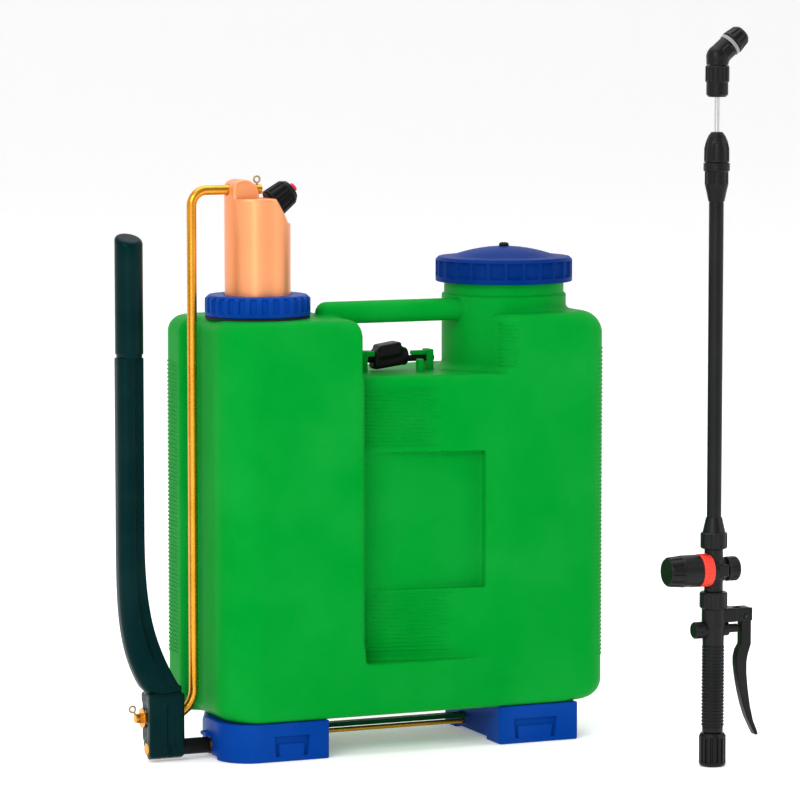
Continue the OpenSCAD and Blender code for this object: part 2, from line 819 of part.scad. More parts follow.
tank_body();
filler_neck();
pump_cylinder();
foot_valve();
pump_collar();
collar_gasket();
pump_chamber();
piston_cup();
outlet_spigot();
outlet_nut();
outlet_plug();
link_rod();
top_split_pin();
bottom_split_pin();
bottom_washer();
lever_hub();
lever_arm();
lever_grip();
lever_shaft();
shaft_sleeve();
foot_bush();
left_foot();
right_foot();
base_rail();
tie_rod();
filler_cap();
cap_gasket();
vent_valve();
strainer();
strap_bar();
strap_buckle();
handle_body();
grip_sleeve();
hose_nut();
valve_cap();
plunger();
plunger_spring();
trigger();
trigger_pin();
lower_nut();
regulator_body();
regulator_knob();
regulator_ring();
regulator_spring();
regulator_cap();
tube_nut();
lance_tube();
lock_collar();
lock_nut();
steel_tube();
elbow_nut();
elbow();
nozzle_ring();
nozzle_cap();
nozzle_core();
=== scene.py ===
import math

import bmesh
import bpy
import numpy as np
from mathutils import Matrix, Vector


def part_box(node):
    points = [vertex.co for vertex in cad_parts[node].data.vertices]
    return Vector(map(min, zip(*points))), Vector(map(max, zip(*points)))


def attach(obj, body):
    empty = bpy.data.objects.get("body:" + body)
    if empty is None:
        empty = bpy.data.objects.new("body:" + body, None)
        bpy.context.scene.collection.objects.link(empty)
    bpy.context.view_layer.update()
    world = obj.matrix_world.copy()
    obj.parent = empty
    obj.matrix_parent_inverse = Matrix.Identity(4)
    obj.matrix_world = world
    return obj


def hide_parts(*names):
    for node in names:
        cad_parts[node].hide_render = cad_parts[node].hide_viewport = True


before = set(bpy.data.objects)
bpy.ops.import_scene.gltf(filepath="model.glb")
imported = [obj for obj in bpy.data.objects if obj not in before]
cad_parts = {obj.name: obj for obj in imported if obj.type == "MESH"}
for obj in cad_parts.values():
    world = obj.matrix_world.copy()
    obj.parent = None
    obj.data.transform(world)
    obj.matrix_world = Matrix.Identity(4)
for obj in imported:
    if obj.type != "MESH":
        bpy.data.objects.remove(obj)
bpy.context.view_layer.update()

# Every length below is in millimetres from the foot of the pump axis: x across, y to the back,
# z up. The pump chamber's box says where that foot stands in the row frame.
lo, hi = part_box("pump_chamber")
HOME = np.array([1 - (lo.x + hi.x) / 2 * 1000, -(lo.y + hi.y) / 2 * 1000, 0.0])
LANCE = (298.5, -192.0)


# ---------------------------------------------------------------- materials
SLOTS = {"pin_wire": "steel", "dark_pin": "steel", "plug_red": "red_plastic",
         "lid_blue": "cap_blue"}


def material(name, colour, rough, metallic=0.0, vary=0.06, grain=900, bump=0.12, spec=0.5,
             cloud=18, tint=None, streak=None, spots=None, glint=(1, 1, 1), ior=1.45):
    """A shader whose colour, roughness and surface all vary a little from place to place.
    cloud and grain are the scales of the slow and the fine noise, glint tints the reflections,
    streak stretches both noises and spots is the colour of worn patches."""
    m = bpy.data.materials.new("look_" + name)
    m["slot"] = SLOTS.get(name, name)
    m.use_nodes = True
    nt = m.node_tree
    n, link = nt.nodes, nt.links
    b = n["Principled BSDF"]
    b.inputs["Metallic"].default_value = metallic
    b.inputs["Specular IOR Level"].default_value = spec
    b.inputs["Specular Tint"].default_value = (*glint, 1)
    b.inputs["IOR"].default_value = ior
    tc = n.new("ShaderNodeTexCoord")
    mp = n.new("ShaderNodeMapping")
    link.new(tc.outputs["Object"], mp.inputs["Vector"])
    if streak:
        mp.inputs["Scale"].default_value = streak
    big = n.new("ShaderNodeTexNoise")
    big.inputs["Scale"].default_value = cloud
    big.inputs["Detail"].default_value = 4
    link.new(mp.outputs["Vector"], big.inputs["Vector"])
    fine = n.new("ShaderNodeTexNoise")
    fine.inputs["Scale"].default_value = grain
    fine.inputs["Detail"].default_value = 3
    link.new(mp.outputs["Vector"], fine.inputs["Vector"])
    ramp = n.new("ShaderNodeValToRGB")
    dark = [c * (1 - vary) for c in colour]
    light = [min(1, c * (1 + vary) + 0.004) for c in (tint or colour)]
    ramp.color_ramp.elements[0].position = 0.3
    ramp.color_ramp.elements[1].position = 0.7
    ramp.color_ramp.elements[0].color = (*dark, 1)
    ramp.color_ramp.elements[1].color = (*light, 1)
    link.new(big.outputs["Fac"], ramp.inputs["Fac"])
    out = ramp.outputs["Color"]
    if spots:
        wear = n.new("ShaderNodeTexNoise")
        wear.inputs["Scale"].default_value = 140
        wear.inputs["Detail"].default_value = 6
        link.new(tc.outputs["Object"], wear.inputs["Vector"])
        cut = n.new("ShaderNodeMapRange")
        cut.inputs["From Min"].default_value = 0.62
        cut.inputs["From Max"].default_value = 0.78
        link.new(wear.outputs["Fac"], cut.inputs["Value"])
        mix = n.new("ShaderNodeMix")
        mix.data_type = "RGBA"
        link.new(cut.outputs["Result"], mix.inputs["Factor"])
        link.new(out, mix.inputs["A"])
        mix.inputs["B"].default_value = (*spots, 1)
        out = mix.outputs["Result"]
    link.new(out, b.inputs["Base Color"])
    rr = n.new("ShaderNodeMapRange")
    rr.inputs["To Min"].default_value = max(0.05, rough - 0.05)
    rr.inputs["To Max"].default_value = rough + 0.06
    link.new(fine.outputs["Fac"], rr.inputs["Value"])
    link.new(rr.outputs["Result"], b.inputs["Roughness"])
    bp = n.new("ShaderNodeBump")
    bp.inputs["Strength"].default_value = bump
    bp.inputs["Distance"].default_value = 0.0003
    link.new(fine.outputs["Fac"], bp.inputs["Height"])
    link.new(bp.outputs["Normal"], b.inputs["Normal"])
    return m


GREEN = material("tank_green", (0.0, 0.262, 0.020), 0.46, vary=0.02, grain=700, bump=0.10,
                 spec=0.22, tint=(0.0, 0.272, 0.024), glint=(0.0, 1.0, 0.42), ior=1.22)
# rail under the tank: the tank green darkened as painted shade, standing for the shadow the rail
# lies in beneath the tank
RAIL_GREEN_SHADED = material("rail_green", (0.0, 0.060, 0.012), 0.45, grain=700, bump=0.12, spec=0.15,
                      glint=(0.1, 1.0, 0.5))
BLUE = material("cap_blue", (0.0, 0.035, 0.255), 0.40, vary=0.05, grain=650, bump=0.10, spec=0.22,
                tint=(0.0, 0.041, 0.275), glint=(0.0, 0.4, 1.0), ior=1.25)
LID_BLUE = material("lid_blue", (0.0, 0.020, 0.150), 0.40, vary=0.06, grain=650, bump=0.10,
                    spec=0.3, tint=(0.0, 0.024, 0.165), glint=(0.0, 0.4, 1.0), ior=1.12)
FOOT_BLUE = material("foot_blue", (0.0, 0.036, 0.255), 0.42, vary=0.05, grain=520, bump=0.15,
                     spec=0.2, tint=(0.0, 0.042, 0.27), glint=(0.0, 0.4, 1.0), ior=1.25)
COPPER = material("chamber_copper", (0.84, 0.315, 0.125), 0.34, metallic=0.55, vary=0.02,
                  grain=900, bump=0.03, tint=(0.88, 0.345, 0.145), cloud=12)
BRASS = material("brass", (0.66, 0.285, 0.022), 0.27, metallic=0.92, vary=0.05, grain=1200,
                 bump=0.02, cloud=45, tint=(0.74, 0.335, 0.035))
STEEL = material("steel", (0.62, 0.62, 0.63), 0.24, metallic=1.0, vary=0.05, grain=1500,
                 bump=0.03, streak=(1, 1, 0.1))
DARK_PIN = material("dark_pin", (0.03, 0.03, 0.032), 0.35, metallic=0.8, grain=1500, bump=0.05)
WIRE = material("pin_wire", (0.36, 0.28, 0.15), 0.36, metallic=0.9, vary=0.1, grain=1500,
                bump=0.08, spots=(0.25, 0.18, 0.1))
TEAL = material("lever_teal", (0.0, 0.0065, 0.0075), 0.31, vary=0.12, grain=420, bump=0.06,
                spec=0.24, tint=(0.0, 0.0085, 0.0095), glint=(0.1, 1.0, 1.0), ior=1.3)
BLACK = material("black_fittings", (0.0025, 0.0025, 0.003), 0.40, vary=0.15, grain=600,
                 bump=0.12, spec=0.12)
LBLACK = material("lance_black", (0.0035, 0.0035, 0.004), 0.34, vary=0.15, grain=620, bump=0.10,
                  spec=0.20)
RUBBER = material("rubber", (0.010, 0.010, 0.010), 0.65, vary=0.15, grain=500, bump=0.3, spec=0.2)
RED = material("red_plastic", (0.72, 0.040, 0.022), 0.38, vary=0.05, grain=700, bump=0.08,
               spec=0.3)
PINK = material("plug_red", (0.66, 0.02, 0.065), 0.36, vary=0.05, grain=700, bump=0.08, spec=0.3)
GREY = material("ring_grey", (0.25, 0.25, 0.25), 0.42, vary=0.06, grain=700, bump=0.08, spec=0.3)
WHITE = material("white_plastic", (0.78, 0.78, 0.73), 0.45, vary=0.04, grain=600, bump=0.12)
BUSH = material("bush_plastic", (0.012, 0.014, 0.02), 0.45, vary=0.05, grain=600, bump=0.12)


# ---------------------------------------------------------------- mesh making
def make(name, verts, faces, mat, body, nodes=(), sharp=38):
    """A finished piece from points in millimetres: smooth shaded, sharp only at real corners."""
    co = (np.asarray(verts, float) - HOME) / 1000.0
    me = bpy.data.meshes.new(name)
    me.from_pydata(co.tolist(), [], faces)
    bm = bmesh.new()
    bm.from_mesh(me)
    bmesh.ops.recalc_face_normals(bm, faces=bm.faces)
    bm.to_mesh(me)
    bm.free()
    me.materials.append(mat)
    me.shade_smooth()
    me.set_sharp_from_angle(angle=math.radians(sharp))
    ob = bpy.data.objects.new(name, me)
    bpy.context.scene.collection.objects.link(ob)
    wn = ob.modifiers.new("even_normals", "WEIGHTED_NORMAL")
    wn.keep_sharp = True
    wn.weight = 60
    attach(ob, body)
    nodes = [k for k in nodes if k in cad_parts]
    if nodes:
        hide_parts(*nodes)
    return ob


def join(*parts):
    """Several (points, faces) pairs as one."""
    verts, faces = [], []
    for v, f in parts:
        k = len(verts)
        verts += [tuple(p) for p in v]
        faces += [tuple(i + k for i in q) for q in f]
    return verts, faces


def soften(profile, r, steps=3, closed=False):
    """Rounds the corners of a (s, r) outline with arcs of about radius r."""
    pts = [np.array(p, float) for p in profile]
    out = []
    n = len(pts)
    for i in range(n):
        if not closed and i in (0, n - 1):
            out.append(pts[i])
            continue
        p, a, b = pts[i], pts[i - 1] - pts[i], pts[(i + 1) % n] - pts[i]
        la, lb = np.linalg.norm(a), np.linalg.norm(b)
        if la < 1e-6 or lb < 1e-6:
            continue
        a, b = a / la, b / lb
        turn = math.acos(max(-1, min(1, float(a @ b))))
        if turn > math.radians(165):
            out.append(p)
            continue
        t = min(r / math.tan(turn / 2), 0.42 * la, 0.42 * lb)
        for k in range(steps + 1):
            w = k / steps
            out.append((1 - w) ** 2 * (p + a * t) + 2 * w * (1 - w) * p + w * w * (p + b * t))
    return [tuple(q) for q in out]


def lathe_mesh(origin, axis, profile, seg=64, closed=False, shape=None):
    """Turns an outline of (distance along the axis, radius) round it. shape(angle, s, r) gives
    the radius at an angle, for flutes and pockets."""
    axis = Vector(axis).normalized()
    u = axis.orthogonal().normalized()
    if abs(axis.z) > 0.99:
        u = Vector((1, 0, 0))
    elif abs(axis.y) < 0.01:
        u = Vector((0, 1, 0))
    w = axis.cross(u)
    o, axis, u, w = (np.array(k, float) for k in (origin, axis, u, w))
    verts, faces, rings = [], [], []
    ang = np.arange(seg) * 2 * math.pi / seg
    for s, r in profile:
        if r < 1e-6:
            rings.append([len(verts)])
            verts.append(o + axis * s)
            continue
        rr = np.full(seg, float(r)) if shape is None else np.array([shape(a, s, r) for a in ang])
        rings.append(list(range(len(verts), len(verts) + seg)))
        for a, q in zip(ang, rr):
            verts.append(o + axis * s + (u * math.cos(a) + w * math.sin(a)) * q)
    pairs = list(zip(rings, rings[1:])) + ([(rings[-1], rings[0])] if closed else [])
    for p, q in pairs:
        for i in range(seg):
            j = (i + 1) % seg
            if len(p) == 1 and len(q) == 1:
                break
            if len(p) == 1:
                faces.append((p[0], q[i], q[j]))
            elif len(q) == 1:
                faces.append((p[i], q[0], p[j]))
            else:
                faces.append((p[i], q[i], q[j], p[j]))
    if not closed:
        for ring in (rings[0], rings[-1]):
            if len(ring) > 1:
                faces.append(tuple(ring))
    return verts, faces


def flutes(count, depth, s0, s1, fill=0.5, edge=0.12, fade=0.8, phase=0.5):
    """Radius function with count hollows between s0 and s1; fill is their share of the way round."""
    def shape(a, s, r):
        t = (a / (2 * math.pi) * count + phase) % 1.0
        d = abs(t - 0.5)
        k = np.clip((fill / 2 + edge / 2 - d) / edge, 0, 1)
        k = k * k * (3 - 2 * k)
        e = min(1.0, max(0.0, (s - s0) / fade + 0.5)) * min(1.0, max(0.0, (s1 - s) / fade + 0.5))
        return r - depth * k * e
    return shape


def dense(profile, s0, s1, step=0.45):
    """Adds outline points near s0 and s1, where flutes begin and end."""
    out = [profile[0]]
    for (sa, ra), (sb, rb) in zip(profile, profile[1:]):
        cuts = [c for c in (s0 - step, s0, s0 + step, s1 - step, s1, s1 + step)
                if min(sa, sb) + 1e-6 < c < max(sa, sb) - 1e-6]
        if abs(sb - sa) > 1e-6:
            for c in sorted(cuts, reverse=bool(sb < sa)):
                out.append((c, ra + (rb - ra) * (c - sa) / (sb - sa)))
        out.append((sb, rb))
    return out


def turned(name, origin, axis, profile, mat, body, nodes, seg=64, r=0.5, closed=False, cuts=None,
           extra=(), steps=3):
    """A lathe piece with softened corners. cuts is (count, depth, s0, s1, fill) for flutes."""
    prof = soften(profile, r, steps, closed)
    shape = None
    if cuts:
        count, depth, s0, s1, fill = cuts
        seg = count * max(6, round(seg / count))
        prof = dense(prof, s0, s1)
        outer = max(q[1] for q in profile)
        base = flutes(count, depth, s0, s1, fill)

        def shape(a, s, q):
            return base(a, s, q) if q > 0.6 * outer else q
    parts = [lathe_mesh(origin, axis, prof, seg, closed, shape), *extra]
    v, f = join(*parts)
    return make(name, v, f, mat, body, nodes)


def sweep_mesh(path, r, seg=20, closed=False, radii=None):
    """Round bar along a path of points."""
    P = [np.array(p, float) for p in path]
    n = len(P)
    T = []
    for i in range(n):
        a = P[i - 1] if (i or closed) else P[i]
        b = P[(i + 1) % n] if (i < n - 1 or closed) else P[i]
        t = b - a
        T.append(t / np.linalg.norm(t))
    ref = np.array([0, 1, 0.0]) if abs(T[0][1]) < 0.9 else np.array([1.0, 0, 0])
    nrm = ref - T[0] * (ref @ T[0])
    nrm /= np.linalg.norm(nrm)
    verts, faces = [], []
    for i in range(n):
        nrm = nrm - T[i] * (nrm @ T[i])
        nrm /= np.linalg.norm(nrm)
        bi = np.cross(T[i], nrm)
        q = r if radii is None else radii[i]
        for k in range(seg):
            a = 2 * math.pi * k / seg
            verts.append(P[i] + (nrm * math.cos(a) + bi * math.sin(a)) * q)
    m = n if closed else n - 1
    for i in range(m):
        for k in range(seg):
            a, b = i * seg, ((i + 1) % n) * seg
            j = (k + 1) % seg
            faces.append((a + k, a + j, b + j, b + k))
    if not closed:
        faces.append(tuple(range(seg)))
        faces.append(tuple(range((n - 1) * seg, n * seg)))
    return verts, faces


def arc(cx, cz, r, a0, a1, steps, y=0.0):
    """Points on an arc in an X-Z plane; angles in degrees from +X towards +Z."""
    out = []
    for k in range(steps + 1):
        a = math.radians(a0 + (a1 - a0) * k / steps)
        out.append((cx + r * math.cos(a), y, cz + r * math.sin(a)))
    return out


# ---------------------------------------------------------------- solids as distance fields
def rmax(a, b, r):
    """Both of two solids, with an edge of radius r where their faces cross."""
    return np.minimum(-r, np.maximum(a, b)) + np.hypot(np.maximum(r + a, 0), np.maximum(r + b, 0))


def rmin(a, b, r):
    """Either of two solids, with a fillet of radius r where they meet."""
    return np.maximum(r, np.minimum(a, b)) - np.hypot(np.maximum(r - a, 0), np.maximum(r - b, 0))


def ease(a, b, v):
    t = np.clip((v - a) / (b - a), 0, 1)
    return t * t * (3 - 2 * t)


def slab(v, a, b):
    return np.maximum(a - v, v - b)


def brick(x, y, z, bx, by, bz, r):
    """A box with all its edges rounded."""
    out = 0
    deep = None
    for v, (a, b) in ((x, bx), (y, by), (z, bz)):
        d = np.abs(v - (a + b) / 2) - (b - a) / 2 + r
        out = out + np.maximum(d, 0) ** 2
        deep = d if deep is None else np.maximum(deep, d)
    return np.sqrt(out) + np.minimum(deep, 0) - r


def rod_x(x, y, z, x0, x1, cy, cz, r, e):
    return rmax(np.hypot(y - cy, z - cz) - r, slab(x, x0, x1), e)


def field_mesh(sdf, lo, hi, h, passes=4):
    """The surface where sdf is nought: a net of quads on a grid, then drawn on to the surface."""
    ax = [np.arange(a, b + h, h) for a, b in zip(lo, hi)]
    n = [len(a) for a in ax]
    F = sdf(ax[0][:, None, None], ax[1][None, :, None], ax[2][None, None, :])
    F = np.broadcast_to(F, n)
    S = F < 0
    corner = [(i, j, k) for i in (0, 1) for j in (0, 1) for k in (0, 1)]

    def part(A, c):
        return A[c[0]:n[0] - 1 + c[0], c[1]:n[1] - 1 + c[1], c[2]:n[2] - 1 + c[2]]

    count = sum(part(S, c).astype(np.int8) for c in corner)
    cells = np.argwhere((count > 0) & (count < 8))
    index = np.full([k - 1 for k in n], -1, np.int64)
    index[tuple(cells.T)] = np.arange(len(cells))
    total, hits = np.zeros((len(cells), 3)), np.zeros(len(cells))
    for a in corner:
        for d in range(3):
            if a[d]:
                continue
            b = list(a)
            b[d] = 1
            fa = F[tuple((cells + a).T)]
            fb = F[tuple((cells + b).T)]
            on = (fa < 0) != (fb < 0)
            t = np.where(on, fa / np.where(on, fa - fb, 1), 0)
            p = cells + np.array(a) + t[:, None] * (np.array(b) - np.array(a))
            total += p * on[:, None]
            hits += on
    P = total / hits[:, None] * h + np.array([a[0] for a in ax])
    faces = []
    for d in range(3):
        e, f = (d + 1) % 3, (d + 2) % 3
        lo_s = [slice(None)] * 3
        hi_s = [slice(None)] * 3
        lo_s[d], hi_s[d] = slice(0, n[d] - 1), slice(1, n[d])
        A, B = S[tuple(lo_s)], S[tuple(hi_s)]
        edges = np.argwhere(A != B)
        edges = edges[(edges[:, e] > 0) & (edges[:, f] > 0)
                      & (edges[:, e] < n[e] - 1) & (edges[:, f] < n[f] - 1)]
        flip = B[tuple(edges.T)]
        quad = []
        for de, df in ((1, 1), (0, 1), (0, 0), (1, 0)):
            c = edges.copy()
            c[:, e] -= de
            c[:, f] -= df
            quad.append(index[tuple(c.T)])
        quad = np.stack(quad, 1)
        quad[flip] = quad[flip][:, ::-1]
        faces.append(quad)
    faces = np.concatenate(faces)

    def val(Q):
        return sdf(Q[:, 0], Q[:, 1], Q[:, 2])

    for _ in range(passes):
        f0 = val(P)
        g = np.stack([(val(P + d) - val(P - d)) / 0.1 for d in np.eye(3) * 0.05], 1)
        step = f0[:, None] * g / np.maximum((g * g).sum(1), 0.2)[:, None]
        size = np.linalg.norm(step, axis=1)
        P = P - step * np.minimum(1, 0.6 * h / np.maximum(size, 1e-9))[:, None]
    return P.tolist(), [tuple(q) for q in faces.tolist()]


# ---------------------------------------------------------------- tank
RIGHT, FRONT, BACK, TOP, UNDER = 279.0, -52.0, 72.0, 339.0, 30.0
COL_R, COL_L = 71.0, -44.0            # side walls of the pump column
REAR_L, RECESS = -54.0, 22.0          # left wall behind the link rod, and where it starts
NX, NY, NECK = 214.0, 10.0, 49.3      # filler neck: its axis and radius
BORE, THREAD = 44.4, 47.4             # its bore, and its upper part under the cap
SADDLE = 293.0                        # top of the low part under the carry handle
HANDLE_Y, HANDLE_Z, HANDLE_R = -5.0, 341.0, 8.8
PUMP_X, PUMP_NECK, PUMP_BORE = 1.0, 37.0, 31.0
RIB_PITCH = 3.2


def valley_y(x):
    """Front face of the hollow beside the column: deep at the column, flush to the right."""
    t = (x - COL_R) / 119.0
    return FRONT + 22 * np.maximum(1 - t, 0) ** 1.25 - 14 * np.maximum(t - 1, 0) ** 1.5


def tank_field(x, y, z):
    left = rmax(REAR_L - x, y - BACK, 24)
    left = rmax(left, rmin(COL_L - x, RECESS - y, 3), 7)
    left = rmax(left, FRONT - y, 30 - 22 * ease(-10, 15, y))
    right = rmax(rmax(x - RIGHT, y - BACK, 24), FRONT - y, 22)
    plan = np.maximum(left, right)
    # hollow beside the column
    vy = valley_y(x)
    hollow = rmin(rmin(x - COL_R, (vy - y) * 0.98, 4), z - 71, 3)
    fade = 1 - ease(88, 125, x)
    edge = 0.4 + (2.6 + 4.0 * ease(74, 90, z)) * fade
    body = rmax(plan, hollow, edge)
    # saddle under the carry handle, with the block and the foot of the neck beside it
    block = rmax(rmax(186 - x, (FRONT - 2) - y, 22), y - (BACK + 2), 22)
    foot = np.hypot(x - NX, y - NY) - NECK
    stand = rmin(block, foot, 8)
    saddle = rmin(rmin(x - COL_R, z - SADDLE, 6), stand, 6)
    body = rmax(body, saddle, 0.3 + 5.5 * (1 - ease(150, 182, x)))
    # top and bottom, with the roundings of each side
    wr, wl = ease(236, 268, x), 1 - ease(-42, -16, x)
    wc = ease(40, 60, x) * (1 - ease(84, 110, x))
    body = rmax(body, z - TOP, 7 + 11 * wr + 6 * wl + 8 * wc)
    body = rmax(body, UNDER - z, 6 + 10 * wr + 6 * wl)
    # plain name panel
    floor = -30.4 - (x - 77) * 0.115
    panel = rmin(rmin(x - 77, 172 - x, 1.5), rmin(z - 126, 233 - z, 1.5), 0.8)
    panel = rmin(panel, floor - y, 1.8)
    body = rmax(body, panel, 1.3)
    # shallow plain field on the back
    field = brick(x, y, z, (-8, 232), (BACK - 1.4, BACK + 30), (84, 262), 1.3)
    body = rmax(body, -field, 1.2)
    # carry handle
    px = np.clip(x, 56, 176)
    bar = np.sqrt((x - px) ** 2 + (y - HANDLE_Y) ** 2 + (z - HANDLE_Z) ** 2) - HANDLE_R
    pz = np.clip(z, 326, HANDLE_Z)
    post = np.sqrt((x - 56) ** 2 + (y - HANDLE_Y) ** 2 + (z - pz) ** 2) - HANDLE_R
    body = rmin(body, np.minimum(bar, post), 2.5)
    # necks
    ring = np.hypot(x - NX, y - NY)
    neck = rmin(rmax(rmax(ring - NECK, z - 351.5, 1.2), 300 - z, 0.1),
                rmax(rmax(ring - THREAD, z - 373, 0.8), 300 - z, 0.1), 0.8)
    body = rmin(body, neck, 0.2 + 3.6 * ease(182, 214, x))
    pump = np.hypot(x - PUMP_X, y)
    body = rmin(body, rmax(pump - PUMP_NECK, z - 352, 0.6), 0.8)
    body = rmax(body, -rmax(ring - BORE, 298 - z, 1), 0.8)
    body = rmax(body, -rmax(pump - PUMP_BORE, 35.2 - z, 0.5), 0.6)
    # groove that the strap bar lies in
    bore = np.maximum(np.hypot(y - 10, z - 302) - 5.25, np.maximum(x - 90, 60 - x))
    return np.maximum(body, -bore)


def rib(path, out, z, h, w=0.85):
    """One moulded rib at height z along a plan path, h high and 2w wide, fading at both ends.
    out holds the way out of the tank at each point; the path is first drawn on to the tank."""
    n = len(path)
    P, O = np.array(path, float), np.array(out, float)
    for _ in range(3):
        P -= O * np.clip(tank_field(P[:, 0], P[:, 1], np.full(n, z)), -2, 2)[:, None]
    path = P.tolist()
    verts, faces = [], []
    prof = ((-w, -0.5), (-0.62 * w, 0.45), (-0.22 * w, 1.0), (0.22 * w, 1.0), (0.62 * w, 0.45),
            (w, -0.5))
    for i, ((x, y), (ox, oy)) in enumerate(zip(path, out)):
        t = i / (n - 1)
        k = min(1.0, t / 0.12, (1 - t) / 0.12)
        for dz, o in prof:
            d = o * h * k if o > 0 else o - 0.25
            if o > 0 and k < 0.05:
                d = -0.3
            verts.append((x + ox * d, y + oy * d, z + dz))
    m = len(prof)
    for i in range(n - 1):
        for j in range(m - 1):
            a = i * m + j
            faces.append((a, a + 1, a + m + 1, a + m))
        faces.append((i * m + m - 1, i * m, (i + 1) * m, (i + 1) * m + m - 1))
    faces.append(tuple(range(m)))
    faces.append(tuple(range((n - 1) * m, n * m)))
    return verts, faces


def corner_path(cx, cy, r, a0, a1, steps):
    pts, out = [], []
    for k in range(steps + 1):
        a = math.radians(a0 + (a1 - a0) * k / steps)
        pts.append((cx + r * math.cos(a), cy + r * math.sin(a)))
        out.append((math.cos(a), math.sin(a)))
    return pts, out


def tank_ribs():
    parts = []
    # right side, round both corners
    p1, o1 = corner_path(257, -30, 22, -62, 0, 8)
    p2, o2 = corner_path(255, 48, 24, 0, 68, 8)
    right, rout = p1 + [(RIGHT, 4), (RIGHT, 30)] + p2, o1 + [(1, 0), (1, 0)] + o2
    # left side and rear corner
    p3, o3 = corner_path(-30, 48, 24, 180, 112, 8)
    left, lout = [(REAR_L, 28), (REAR_L, 34), (REAR_L, 42)] + p3, [(-1, 0)] * 3 + o3
    for k in range(77):
        z = 66 + k * RIB_PITCH
        parts.append(rib(right, rout, z, 0.75, 0.95))
        if 74 < z < 306:
            parts.append(rib(left, lout, z, 0.75, 0.95))
    # hollow beside the column
    for z0, count, reach in ((78.5, 15, 150), (238.5, 15, 140)):
        for k in range(count):
            z = z0 + k * RIB_PITCH
            end = reach - 7 * abs(math.sin(k * 0.9))
            xs = np.linspace(72.5, end, 14)
            pts = [(float(x), float(valley_y(x))) for x in xs]
            nrm = []
            for x in xs:
                s = float(valley_y(x + 0.5) - valley_y(x - 0.5))
                L = math.hypot(s, 1)
                nrm.append((s / L, -1 / L))
            parts.append(rib(pts, nrm, z, 0.65, 0.95))
    # front left of the filler block
    pts, nrm = corner_path(207.5, -32, 20, 252, 196, 9)
    for k in range(11):
        parts.append(rib(pts, nrm, 299 + k * RIB_PITCH, 0.6, 0.95))
    return join(*parts)


def lug(bx, by, bz, r=0.9, h=0.8):
    pad = 1.5
    return field_mesh(lambda x, y, z: brick(x, y, z, bx, by, bz, r),
                      (bx[0] - pad, by[0] - pad, bz[0] - pad),
                      (bx[1] + pad, by[1] + pad, bz[1] + pad), h, 2)


def hook(x, y, z):
    post = brick(x, y, z, (90, 95), (4, 16), (288, 308.8), 1.2)
    cap = brick(x, y, z, (90, 101), (4, 16), (304.6, 309), 1.2)
    return rmin(post, cap, 1.5)


tank_v, tank_f = field_mesh(tank_field, (-58, -56, 26), (283, 76, 378), 1.5)
tv, tf = join((tank_v, tank_f), tank_ribs(),
              field_mesh(hook, (87, 1, 286), (104, 19, 312), 0.8, 2),
              lug((131, 136), (-12, -6), (288, 303)), lug((146, 151), (4, 16), (288, 309)),
              lug((134, 148), (7, 13), (304.5, 308), 0.8))
tank = make("tank_shell", tv, tf, GREEN, "tank", ("tank_body", "filler_neck"), 50)


# ---------------------------------------------------------------- caps and nuts of the tank
def cap_profile():
    out = [(361.0, 50.6), (361.0, 53.7), (361.6, 54.2), (378.2, 54.2), (380.4, 52.1),
           (380.7, 43.5)]
    out += [(388.5 - 0.0043 * r * r, r) for r in (40, 36, 31, 26, 20, 14, 8, 2.4)]
    out += [(376.6, 2.4), (376.6, 48.0), (366.0, 48.0), (366.0, 50.6)]
    return out


turned("filler_lid", (NX, NY, 0), (0, 0, 1), cap_profile(), LID_BLUE, "cap",
       ("filler_cap",), seg=288, r=0.7, closed=True, cuts=(24, 2.3, 365.3, 377.2, 0.72))
turned("vent_button", (NX, NY, 0), (0, 0, 1),
       [(371, 0), (371, 2.3), (388.4, 2.3), (388.4, 4.0), (390.2, 4.0), (391.4, 2.6), (391.6, 0)],
       BLACK, "cap", ("vent_valve",), seg=36, r=0.5)
turned("collar_nut", (1, 0, 0), (0, 0, 1),
       [(341, 37.3), (341, 40.4), (341.5, 40.8), (354.3, 40.8), (357, 37.9), (357, 26.2),
        (354.1, 26.2), (354.1, 37.3)], BLUE, "collar", ("pump_collar",), seg=280, r=0.8,
       closed=True, cuts=(28, 1.9, 344.2, 355.4, 0.54))


# ---------------------------------------------------------------- pump
def chamber_field(x, y, z):
    tube = np.hypot(x - 1, y) - 25.5
    shelf = z - 412
    flat = np.maximum(z - 431.5, x - 7.5)
    slope = (x - 7.5) * 0.8256 + (z - 431.5) * 0.5642
    wedge = rmax(np.maximum(z - 431.5, slope), x - 21.8, 0.5)
    lugp = rmax(np.hypot(x + 13.5, z - 434) - 12, np.abs(y) - 11, 1.6)
    lugb = rmax(np.maximum(slab(x, -30, -1.5), z - 434), np.abs(y) - 11, 1.6)
    top = np.minimum(np.minimum(shelf, np.minimum(flat, wedge)), np.minimum(lugp, lugb))
    body = rmax(tube, top, 1.3)
    body = np.maximum(body, 340 - z)
    hole = np.maximum(np.hypot(y, z - 438) - 4.05, x - 0.2)
    px, pz = x - 10.5, z - 424.4
    s = px * math.sin(math.radians(54)) + pz * math.cos(math.radians(54))
    t = np.hypot(px * math.cos(math.radians(54)) - pz * math.sin(math.radians(54)), y)
    socket = np.maximum(t - 4.6, -12 - s)
    return np.maximum(np.maximum(body, -hole), -socket)


cv, cf = join(field_mesh(chamber_field, (-27, -27, 337), (29, 27, 449), 0.9),
              lathe_mesh((1, 0, 0), (0, 0, 1), soften([(96, 22.5), (96, 25.5), (341, 25.5),
                                                       (341, 22.5)], 0.8, 3, True), 72, True))
make("air_chamber", cv, cf, COPPER, "chamber", ("pump_chamber",), 42)

